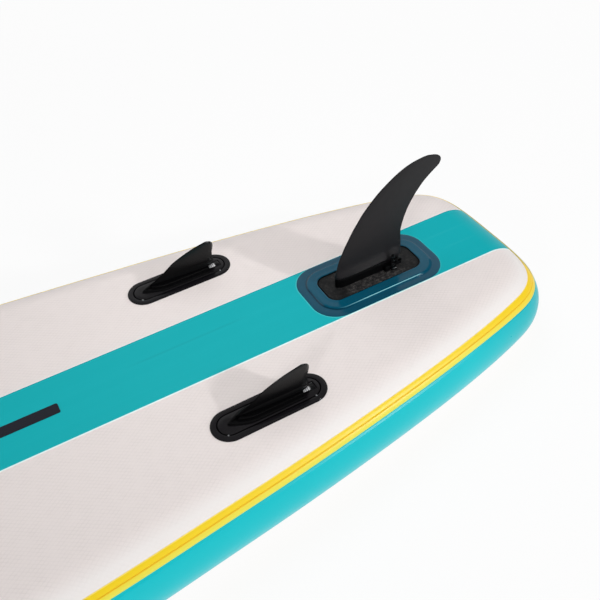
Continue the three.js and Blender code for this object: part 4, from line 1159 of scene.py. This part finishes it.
# Lever outline: x from FIN_X, height above the skin.
LEVER = [(57.4, 2.6), (57.0, 5.5), (57.6, 9.0), (58.2, 13.0), (58.6, 19.0), (58.7, 26.0),
         (59.6, 30.6), (62.0, 33.0), (65.4, 33.2), (67.4, 31.0), (66.4, 28.6), (63.8, 27.6),
         (62.9, 24.0), (63.6, 20.6), (67.0, 20.2), (70.2, 22.6), (74.6, 24.2), (79.0, 22.4),
         (81.2, 18.0), (79.8, 13.4), (75.6, 11.0), (71.6, 9.6), (70.6, 6.0), (69.4, 2.9),
         (66.6, 2.0), (60.0, 2.0)]


def lock_lever():
    """Cam lever beside the fin's foot: hub, upright finger with a rolled end, thumb ring, foot."""
    ring_x, ring_height, bevel = FIN_X + 74.8, 17.4, 1.2
    outline = [[FIN_X + x, BOTTOM + h] for x, h in spline(LEVER, 4)]
    piece = side_plate("fin_lock_clip", outline, -13.6, -9.9, 0.7, MATS["gloss"])
    cut(piece, bar(ring_x, ring_height, (-20, -5), 2.9),
        bar(FIN_X + 67.4, 15.0, (-20, -12.2), 1.7), sharp=30)
    thumb = [[ring_x + 4.9*math.cos(t), -14.1, BOTTOM + ring_height + 4.9*math.sin(t)]
             for t in np.linspace(0, 2*math.pi, 32, endpoint=False)]
    foot = [(0, 2.2)]
    for degrees in (0, 30, 60, 90):
        turn = math.radians(degrees)
        foot.append((bevel * (1 - math.cos(turn)), 6.4 - bevel + bevel * math.sin(turn)))
    fuse(piece,
         bar(FIN_X + 62, 13, (-15.6, -15.2, -14, -9, -6.5), [2.2, 3.0, 3.4, 2.3, 2.3], 28),
         bar(FIN_X + 63.2, 31.0, (-16.6, -16.0, -14, -10.2), [1.5, 2.3, 2.5, 2.5], 20),
         rod("thumb", thumb, 1.35, closed=True),
         loft("foot", stack((FIN_X + 63.4, -14.6, 5.8, 4.4, 1.8), foot, BOTTOM, 8, 1)),
         sharp=30)
    seat(piece, "lock_lever", "fin_lock_lever", MATS["gloss"])


centre_fin()
lock_lever()

# ------------------------------------------------------------------ side fins
# Edges of a side fin: x from FIN_X, height above the skin.
SIDE_LEADING = np.array([
    (-339, 12.0), (-335, 14.6), (-330.5, 17.4), (-325, 20.6), (-313, 26.7), (-304.5, 32),
    (-292.5, 41.0), (-284.5, 44.8), (-274.5, 48.6), (-265.5, 52.0), (-255.5, 55.4),
    (-244.5, 58.2), (-233, 60.6), (-219.5, 62.3)])
SIDE_TRAILING = np.array([
    (-212.0, 12), (-212.6, 20), (-212.9, 27.1), (-212.0, 36.3), (-209.2, 44.5), (-208.0, 50),
    (-208.6, 55.2), (-212.0, 59.4), (-219.5, 62.3)])


def wedge(height, half, bevel, tail, mid_y):
    """One level of a side fin: sharp leading edge, fullest where the rear bevel starts,
    thin blunt trailing edge; half and tail are the half widths there."""
    start = FIN_X + edge_at(SIDE_LEADING, height, 0.8)
    end = FIN_X + edge_at(SIDE_TRAILING, height, 0.8)
    bevel = min(bevel, 0.45 * (end - start))
    full = end - bevel
    side = [[start, 0.25]]
    for s in (0.02, 0.06, 0.12, 0.2, 0.3, 0.42, 0.56, 0.7, 0.82, 0.92, 0.98):
        side.append([start + (full - start) * s, half * (1 - (1 - s)**1.7)])
    side += [[full + 0.06 * bevel, half * 0.995], [full + 0.16 * bevel, half * 0.96],
             [full + 0.5 * bevel, half * 0.68 + tail * 0.3], [end - 0.25, tail + 0.15],
             [end, tail * 0.7]]
    z = BOTTOM + height
    return [[x, mid_y + w, z] for x, w in side] + [[x, mid_y - w, z] for x, w in side[::-1]]


def rail_block(start, tip, half, profile, mid_y):
    """Block with a pointed end towards the nose, tip millimetres long."""
    end = -227
    loops = []
    for inset, height in profile:
        width = half - inset
        side = [[start + inset * 1.6 + tip * s, max(0.05, width * (1 - (1 - s)**1.9))]
                for s in (k / 12 for k in range(13))]
        side.append([end - inset * 0.5, width])
        full = side + [[x, -y] for x, y in side[::-1]]
        loops.append([[FIN_X + x, mid_y + y, BOTTOM + height] for x, y in full])
    return loft("rail_block", loops, MATS["plate"], sharp=30)


def side_base(tag, mid_y):
    """Oval plate with two stacked blocks, slotted for the blade and the latch."""
    profile = [(0, 0.02), (0, 0.9), (0.3, 1.35), (1.0, 1.7), (2.4, 1.95), (9.4, 2.3), (9.9, 2.2),
               (10.1, 1.7), (10.3, 1.05), (11.1, 0.85), (11.9, 1.05), (12.1, 1.9), (12.5, 2.5),
               (13.2, 2.75), (20, 2.9)]
    shape = (SIDE_X, mid_y, SIDE_HALF, SIDE_R, SIDE_R)
    piece = loft("side_fin_plate_" + tag, stack(shape, profile, BOTTOM, 18, 5), MATS["plate"],
                 sharp=30)
    fuse(piece,
         rail_block(-356, 44, 17.2, [(-1.2, 2.2), (-1.0, 2.8), (-0.3, 3.3), (0, 4.0), (0.0, 5.4),
                                     (0.25, 5.9), (0.8, 6.2)], mid_y),
         rail_block(-346, 40, 12.4, [(-0.6, 5.6), (-0.1, 6.4), (0, 7.2), (0, 10.7), (0.2, 11.2),
                                     (0.7, 11.55)], mid_y), sharp=30)
    # lens-shaped hollow ahead of the blade: x shift, half width, height
    lens = [[[FIN_X - 341.5 + 7.5*math.cos(t) + dx, mid_y + width*math.sin(t), BOTTOM + height]
             for t in np.linspace(0, 2*math.pi, 28, endpoint=False)]
            for dx, width, height in ((1.5, 2.2, 4.2), (0.6, 3.6, 7.0), (0, 4.6, 13.0))]
    cut(piece, loft("cutter", lens),
        cutter(FIN_X - 329, FIN_X - 220, mid_y - 7.4, mid_y + 7.4, 6.3, 9.0),
        cutter(FIN_X - 329, FIN_X - 220, mid_y - 4.3, mid_y + 4.3, 8.5, 14),
        cutter(FIN_X - 226.5, FIN_X - 200, mid_y - 8.4, mid_y + 8.4, 0.5, 8), sharp=30)
    seat(piece, "board", "side_fin_base_" + tag, MATS["plate"])


def side_studs(tag, mid_y):
    profile = [(0, 0.6), (1.5, 0.6), (1.5, 2.4), (1.3, 2.9), (0.8, 3.25), (0, 3.4)]
    studs = [turned("stud", profile, (FIN_X + x, mid_y + y, BOTTOM), 20, sharp=50)
             for x, y in ((-362.8, -18.0), (-209.3, -21.2))]
    piece = join("side_fin_plate_studs_" + tag, studs, MATS["steel"], 50)
    seat(piece, "board", None)


def side_blade(tag, mid_y):
    # T-shaped foot: half width, height
    rows = ((7.0, 6.7), (7.0, 8.4), (3.9, 8.6), (3.9, 11.85))
    foot = loft("foot", [section(-328.4, -227, half, 1, mid_y, height) for half, height in rows],
                MATS["blade"], sharp=40)
    # collar: height, half width, rear bevel, half width of the trailing edge
    rows = [(11.78, 7.7, 14.0, 3.2), (12.1, 8.1, 14.0, 3.4), (12.7, 8.1, 14.0, 3.4),
            (13.1, 7.8, 13.8, 3.2), (13.5, 6.8, 13.6, 3.0), (14.1, 5.7, 13.4, 2.8),
            (15.2, 4.8, 13.2, 2.5), (16.6, 4.25, 13.0, 2.3)]
    for height in (18, 20, 22.5, 25, 28, 31, 34, 37, 40, 43, 46, 49, 51.5, 53.5, 55, 56.5, 57.8,
                   58.8, 59.8, 60.6, 61.2, 61.7, 62.0):
        share = (height - 13) / 49
        half = 2.3 + 1.75 * (1 - share)
        tail = 0.55 + 1.7 * max(0.0, 1 - share * 1.4)**1.5
        if height > 57:
            shrink = math.sqrt(max(0.05, 1 - ((height - 57) / 5.2)**2))
            half, tail = half * shrink, tail * shrink
        rows.append((height, half, 8.0 + 5.0 * (1 - share), tail))
    piece = loft("side_fin_blade_" + tag, [wedge(*row, mid_y) for row in rows], MATS["blade"],
                 sharp=24)
    fuse(piece, foot, sharp=24)
    seat(piece, "side_fin_" + tag, "side_fin_" + tag, MATS["blade"])


def side_latch(tag, mid_y):
    """Press pad with cross ribs and sloping flanks."""
    start, end, rib_start, rib_end, floor = -226, -201.8, -224.0, -210.0, 2.3
    loops = []
    for x in [start, -225.4, -224.6, *np.linspace(rib_start, rib_end, 57), -209, -207.5, -205,
              -203.4, -202.4, end]:
        rib = 0.0
        if rib_start <= x <= rib_end and math.cos((x + 224) / 14.0 * 4 * 2 * math.pi) > -0.35:
            rib = 0.5
        # rounded off near both ends
        ease = min(1.0, min(x - start, end - x) / 1.6)
        ease = math.sqrt(max(0.0, 1 - (1 - ease)**2))
        rise = (3.4 + rib) if x < -209.5 else 3.4 - 1.9 * (x + 209.5) / 7.7
        top = floor + rise * max(0.35, ease)
        profile = [(7.1, floor), (7.1, 2.6), (6.6, 3.0), (3.6, top - 0.25), (3.2, top),
                   (-2.6, top), (-3.0, top - 0.2), (-6.4, 2.75), (-7.1, 2.5), (-7.1, floor)]
        loops.append([[FIN_X + x, mid_y + y, BOTTOM + max(floor, h)] for y, h in profile])
    piece = loft("side_fin_latch_" + tag, loops, MATS["latch"], sharp=20)
    seat(piece, "latch_" + tag, "side_latch_tab_" + tag)


for tag, mid_y in (("near", -SIDE_Y), ("far", SIDE_Y)):
    side_base(tag, mid_y)
    side_studs(tag, mid_y)
    side_blade(tag, mid_y)
    side_latch(tag, mid_y)


# ------------------------------------------------------------------ deck side
def deck_pad():
    """Foam pad that follows the outline 26 mm inside it, cut out for the handle."""
    order = np.argsort(SIDE[:, 0])

    def half_at(x):
        return float(np.interp(x, SIDE[order, 0], SIDE[order, 1])) - 26
    tail, front = 1335, -400
    side = [[x, half_at(x)] for x in np.linspace(tail, front, 70)]
    side[0][1] -= 14                           # trimmed corner at the tail
    for i in range(1, 13):
        turn = math.radians(90 * i / 12)
        side.append([front - 70*math.sin(turn), half_at(front) - 110*(1 - math.cos(turn))])
    outline = np.array(side + [[x, -y] for x, y in side[::-1]])
    normals = outline_normals(outline)
    loops = [[[x, y, DECK - depth] for x, y in outline - normals * inset] for inset, depth in
             ((0, 0.02), (0, 3.4), (0.6, 4.6), (1.8, 5.2), (3.0, 5.35))]
    piece = loft("deck_foam_pad", loops, MATS["foam"], sharp=40)
    hole = stack((0, 0, 157, 40, 18), [(0, -12), (0, 2)], DECK, 8, 6)
    cut(piece, loft("cutter", hole), sharp=40)
    seat(piece, "board", "deck_pad")


def handle_patches():
    profile = [(0, -0.02), (0, -0.9), (0.3, -1.3), (0.9, -1.5)]
    for tag, sign in (("front", -1), ("rear", 1)):
        loops = stack((sign * HANDLE_PATCH_X, 0, 38, 32, 14), profile, DECK, 8, 2)
        piece = loft("handle_base_" + tag, loops, MATS["black_patch"])
        seat(piece, "board", "handle_patch_" + tag)


def handle():
    """Webbing arched away from the deck, with a ribbed sleeve round its middle."""
    path = []
    for i in range(65):
        x = -140 + 280 * i / 64
        arch = max(0.0, 1 - (abs(x) / 84)**2.4)
        path.append((x, DECK - 1.9 - 1.0 - 25 * arch))
    # webbing section: y, z
    profile = ((-19, -0.7), (-18.4, -1.05), (0, -1.1), (18.4, -1.05), (19, -0.7),
               (19, 0.7), (18.4, 1.0), (0, 1.05), (-18.4, 1.0), (-19, 0.7))
    loops = [[[x, y, z + dz] for y, dz in profile] for x, z in path]
    piece = loft("handle_strap", loops, MATS["web"], sharp=50)
    seat(piece, "board", "handle_webbing")

    def oval(x, z, half_y, half_z):
        out = []
        for i in range(28):
            turn = 2*math.pi*i/28
            c, s = math.cos(turn), math.sin(turn)
            out.append([x, math.copysign(half_y * abs(c)**0.6, c),
                        z + math.copysign(half_z * abs(s)**0.6, s)])
        return out
    middle = [p for p in path if abs(p[0]) < 56]
    loops = []
    for k, (x, z) in enumerate(middle):
        end = min(k, len(middle) - 1 - k)
        swell = 1 - 0.5 * max(0, (2 - end) / 2)**2
        rib = 0.35 * math.cos(k * 1.6)
        loops.append(oval(x, z, 21.5 + (1.6 + rib) * swell, 5.2 + (2.8 + rib) * swell))
    loops += [oval(x, z, 20.2, 2.2) for x, z in middle[::-1]]
    piece = loft("handle_sleeve", loops, MATS["grip"], ring=True, sharp=50)
    seat(piece, "board", "handle_grip")


def bungee_lugs():
    """Round patches with an upright eye, tilted with the hull."""
    for tag, (x, y) in ANCHORS.items():
        profile = [(0, -0.15), (31, -0.15), (31, -1.0), (30.6, -1.6), (29.4, -2.0), (16, -2.3),
                   (12, -3.0), (0, -3.2)]
        piece = turned("bungee_lug_" + tag, profile, (0, 0, 0), mat=MATS["black_patch"])
        lug = [(1.2, -15), (0.4, -14.6), (0, -13.6), (0, -5), (-1.5, -2.5)]
        fuse(piece, loft("lug", stack((0, 0, 9, 7, 2.5), lug, 0, 6, 1)))
        cut(piece, rod("hole", [[0, end, -8.6] for end in (-20, 20)], 4.6, 24))
        place(piece, shift(x, y, DECK + float(rocker(x)) - 0.25)
              @ Matrix.Rotation(-rocker_tilt(x), 4, "Y"))
        seat(piece, "board", "bungee_anchor_" + tag, MATS["black_patch"])


def bungee_cord():
    """Closed cord through the four eyes; the far half is listed rear to front, then mirrored."""
    far = [(-640, 60), (-640, 148), (-640, 188), (-652, 203), (-672, 205), (-760, 193),
           (-850, 180), (-905, 171), (-921, 165), (-930, 153), (-930, 112), (-930, 40)]
    near = [(x, -y) for x, y in far[::-1]]
    # the curve starts at the near rear eye
    path = [*near[-2:], *far, *near[:-2]]
    points = [[x, y, DECK + float(rocker(x)) - 8.85] for x, y in path]
    piece = rod("bungee_line", spline(points, 6), 3.2, closed=True, mat=MATS["cord"])
    seat(piece, "board", "bungee_cord")


def d_ring(name):
    """D-shaped ring: straight bar along Y at the origin, the curved side towards +X."""
    half, reach = 17.0, 22.0
    path = [[0, -half + 2*half*i/8, 0] for i in range(1, 8)]
    for i in range(37):
        turn = math.radians(90 - 180*i/36)
        x = 2 + reach*math.cos(turn) if 0 < i < 36 else 1.0
        path.append([x, half*math.sin(turn), 0])
    return rod(name, path, 2.6, 16, closed=True, mat=MATS["steel"])


def ring_loop(name):
    """Webbing folded round a ring's bar, which lies along Y at the origin; patch above it."""
    outline = [[5, RING_LIFT], [-29, RING_LIFT], [-29, RING_LIFT - 1.4], [-9, RING_LIFT - 1.6]]
    for i in range(24, -1, -1):
        turn = math.radians(200 * i / 24)
        outline.append([6.0*math.cos(turn), -6.0*math.sin(turn)])
    piece = side_plate(name, outline, -11, 11, 0.35, MATS["web"])
    return cut(piece, rod("hole", [[0, y, 0] for y in (-20, 20)], 3.3, 28), sharp=50)


def loop_and_ring(tag, matrix):
    seat(place(ring_loop(tag + "_web"), matrix), "board", tag + "_loop")
    seat(place(d_ring(tag + "_d_ring"), matrix), tag + "_ring", tag + "_ring")


def leash_fitting():
    profile = [(0, -0.02), (34, -0.02), (34, -1.0), (33.5, -1.4), (32.5, -1.6), (0, -1.6)]
    piece = turned("leash_base", profile, (LEASH_X, 0, DECK), 72, MATS["black_patch"])
    seat(piece, "board", "leash_patch")
    loop_and_ring("leash", shift(LEASH_X + 3, 0, DECK - 1.95 - RING_LIFT))


def tow_fitting():
    """Ring on the fin side of the nose."""
    hull = (shift(TOW_X, 0, BOTTOM + float(rocker(TOW_X)))
            @ Matrix.Rotation(-rocker_tilt(TOW_X), 4, "Y"))
    profile = [(0, 0.45), (32, 0.45), (32, 1.5), (31.6, 2.1), (30.4, 2.5), (0, 2.6)]
    piece = turned("tow_base", profile, (0, 0, 0), 72, MATS["patch"])
    seat(place(piece, hull), "board", "tow_patch")
    loop_and_ring("tow", hull @ shift(-3, 0, 8.35) @ Matrix.Rotation(math.pi, 4, "Y"))


def valve():
    centre = (VALVE_X, VALVE_Y, DECK)

    def part(name, node, profile, seg, mat="valve", body="board", slot="valve_plastic", dent=None):
        piece = turned(name, profile, centre, seg, MATS[mat], dent=dent)
        seat(piece, body, node)
    part("valve_housing", "valve_body",
         [(27, -0.35), (27, -2.2), (26.6, -3.0), (25.6, -3.5), (15, -3.6), (14, -3.2), (14, 18.6),
          (13.6, 19), (3.1, 19), (3.1, 21.5), (17.6, 21.5), (17.6, -0.35)], 64)
    part("valve_clamp_nut", "valve_nut",
         [(18.0, 1.6), (24.5, 1.6), (25, 2.1), (25, 7.0), (24.5, 7.5), (18.0, 7.5)], 48)
    part("valve_stem", "valve_plunger",
         [(0, 0.5), (4.8, 0.5), (5.2, 0.9), (5.2, 2.4), (4.8, 2.8), (2.6, 2.8), (2.6, 21.9),
          (9.3, 21.9), (9.5, 22.1), (9.5, 23.4), (9.3, 23.6), (0, 23.6)], 40,
         mat="plunger", body="valve_plunger", slot="plunger_plastic")

    def flute(radius, height, turn):
        """Sixteen finger flutes round the cap's rim."""
        on_rim = 25.5 < radius and height < -4.2
        return 0.7 * max(0.0, math.cos(16*turn)) if on_rim else 0
    part("valve_screw_cap", "valve_cap",
         [(0, -4.0), (25.6, -4.0), (26, -4.5), (26, -7.8), (25.4, -8.8), (24.2, -9.3), (9, -9.4),
          (7, -8.6), (0, -8.5)], 96, body="valve_cap", dent=flute)
    coil = []
    for i in range(161):
        turn = 2*math.pi*4*i/160
        coil.append([VALVE_X + 4.4*math.cos(turn), VALVE_Y + 4.4*math.sin(turn),
                     DECK + 6.6 + 11.3*i/160])
    piece = rod("valve_coil_spring", coil, 0.6, 10, mat=MATS["spring"])
    seat(piece, "board", "valve_spring")


deck_pad()
handle_patches()
handle()
bungee_lugs()
bungee_cord()
leash_fitting()
tow_fitting()
valve()

# CAD nodes that stay, hidden inside the hull
for node, mat in (("inner_side_wall", "wall"), ("drop_stitch_core", "thread")):
    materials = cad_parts[node].data.materials
    materials.clear()
    materials.append(MATS[mat])


# ------------------------------------------------------------------ floor, world, lights, camera
def floor_material():
    sh = Shader("floor_pale", rough=0.9, spec=0.1)
    blotch = sh.noise(scale=1.5, detail=2.0) * 0.3
    sh.colour(sh.mix(blotch, (0.90, 0.90, 0.90), (0.88, 0.88, 0.885)))
    glow = sh.add("ShaderNodeEmission")
    sh.feed(glow.inputs[0], (1, 1, 1))
    sh.feed(glow.inputs[1], 1.0)
    # far away the floor fades into the pale backdrop
    length = sh.add("ShaderNodeVectorMath", operation="LENGTH")
    sh.feed(length.inputs[0], sh.position)
    fade = sh.ramp(sh.out(length, "Value") / 12.0, (0.0, 0.86), (0.25, 0.94), (0.8, 1.0))
    sh.feed(sh.output.inputs[0], sh.blend(fade, sh.out(sh.bsdf), sh.out(glow)))
    return sh.mat


def floor_plane():
    """Floor through the two places the board rests on, towards its nose and its tail."""
    half = 30.0
    points = np.array([(v.co.x, v.co.z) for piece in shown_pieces() for v in piece.data.vertices])
    low = points[points[:, 1] < 0.11]
    # steepest slope whose lowest contact is still on the nose half
    for trial in np.linspace(0, 0.06, 241):
        if low[int(np.argmin(low[:, 1] - low[:, 0] * trial)), 0] > 0:
            break
        slope = trial
    level = float((low[:, 1] - low[:, 0] * slope).min())
    mesh = bpy.data.meshes.new("floor")
    verts = [(x, y, level + x*slope)
             for x, y in ((-half, -half), (half, -half), (half, half), (-half, half))]
    mesh.from_pydata(verts, [], [(0, 1, 2, 3)])
    piece = bpy.data.objects.new("floor", mesh)
    bpy.context.scene.collection.objects.link(piece)
    mesh.materials.append(floor_material())


def studio_world():
    """White to the camera, even light on surfaces, a graded dome in reflections."""
    world = bpy.data.worlds.new("studio")
    scene.world = world
    graph = Graph(world)
    output = graph.add("ShaderNodeOutputWorld")
    rays = graph.add("ShaderNodeLightPath")
    split = graph.add("ShaderNodeSeparateXYZ")
    graph.feed(split.inputs[0], graph.out(graph.add("ShaderNodeTexCoord"), "Generated"))
    # brightness by height, then dimmed towards -Y
    dome = graph.ramp(graph.out(split, 2), (0.0, 1), (0.2, 0.85), (0.4, 0.80), (0.60, 0.78),
                      (0.68, 0.68), (0.75, 0.40), (0.80, 0.34), (0.9, 0.4),
                      (1.0, (0.5, 0.5, 0.51)))
    scaled = graph.add("ShaderNodeVectorMath", operation="SCALE")
    graph.feed(scaled.inputs[0], dome)
    graph.feed(scaled.inputs["Scale"],
               graph.span(graph.out(split, 1), -0.2, 0.35, low=0.42, high=0.72))

    def background(colour, strength):
        node = graph.add("ShaderNodeBackground")
        graph.feed(node.inputs[0], colour)
        graph.feed(node.inputs[1], strength)
        return graph.out(node)
    glossy = background(graph.out(scaled), strength=0.9)
    diffuse = background((0.985, 0.99, 1.0), strength=0.41)
    camera = background((1, 1, 1), strength=1.0)
    lit = graph.blend(graph.out(rays, "Is Glossy Ray"), diffuse, glossy)
    graph.feed(output.inputs[0], graph.blend(graph.out(rays, "Is Camera Ray"), lit, camera))


def area(name, direction, distance, size, power, target=(1.0, 0.0, 0.25), color=(1, 1, 1)):
    """Round area light, looking at its target from a direction."""
    light = bpy.data.lights.new(name, "AREA")
    light.shape = "DISK"
    light.size = size
    light.energy = power
    light.color = color
    lamp = bpy.data.objects.new(name, light)
    scene.collection.objects.link(lamp)
    away = Vector(direction).normalized()
    lamp.location = Vector(target) + away * distance
    lamp.rotation_euler = (-away).to_track_quat("-Z", "Y").to_euler()
    return lamp


def lights():
    area("key", direction=(0.564, -0.724, 0.397), distance=5.91, size=0.42, power=131.0)
    fill = area("side_fill", direction=(-0.697, -0.598, 0.394), distance=14.0, size=1.9,
                power=385.0)
    top = area("top_soft", direction=(0.0, 0.0, 1.0), distance=1.05, size=0.85, power=5.0,
               target=(1.12, 0.12, 0.25))
    glint = area("edge_glint", direction=(0.418, -0.68, 0.603), distance=3.0, size=0.45,
                 power=7.0, target=(1.3, -0.05, 0.25), color=(0.6, 0.95, 1.0))
    back = area("back_fill", direction=(0.1, 0.78, 0.62), distance=2.6, size=1.3, power=6.5,
                target=(1.15, 0.2, 0.25))
    for lamp in (fill, top, back):
        lamp.visible_glossy = False
    glint.visible_diffuse = False


def camera():
    """Camera above the near side, looking along the board towards its tail."""
    lens = bpy.data.cameras.new("camera")
    lens.sensor_width = 36.0
    lens.lens = 48.47
    lens.clip_start, lens.clip_end = 0.05, 200
    lens.shift_x, lens.shift_y = -0.000833333, 0.00166667
    holder = bpy.data.objects.new("camera", lens)
    scene.collection.objects.link(holder)
    right = (0.86841, -0.49281, -0.05483)
    up = (0.37461, 0.57959, 0.72371)
    back = (-0.32487, -0.64902, 0.68793)
    place_at = (0.6904, -0.9302, 0.9913 + BOTTOM*MM)
    holder.matrix_world = Matrix((*zip(right, up, back, place_at), (0, 0, 0, 1)))
    scene.camera = holder


floor_plane()
scene = bpy.context.scene
scene.view_settings.view_transform = "Standard"
scene.view_settings.look = "None"
scene.view_settings.exposure = 0.0
studio_world()
lights()
camera()
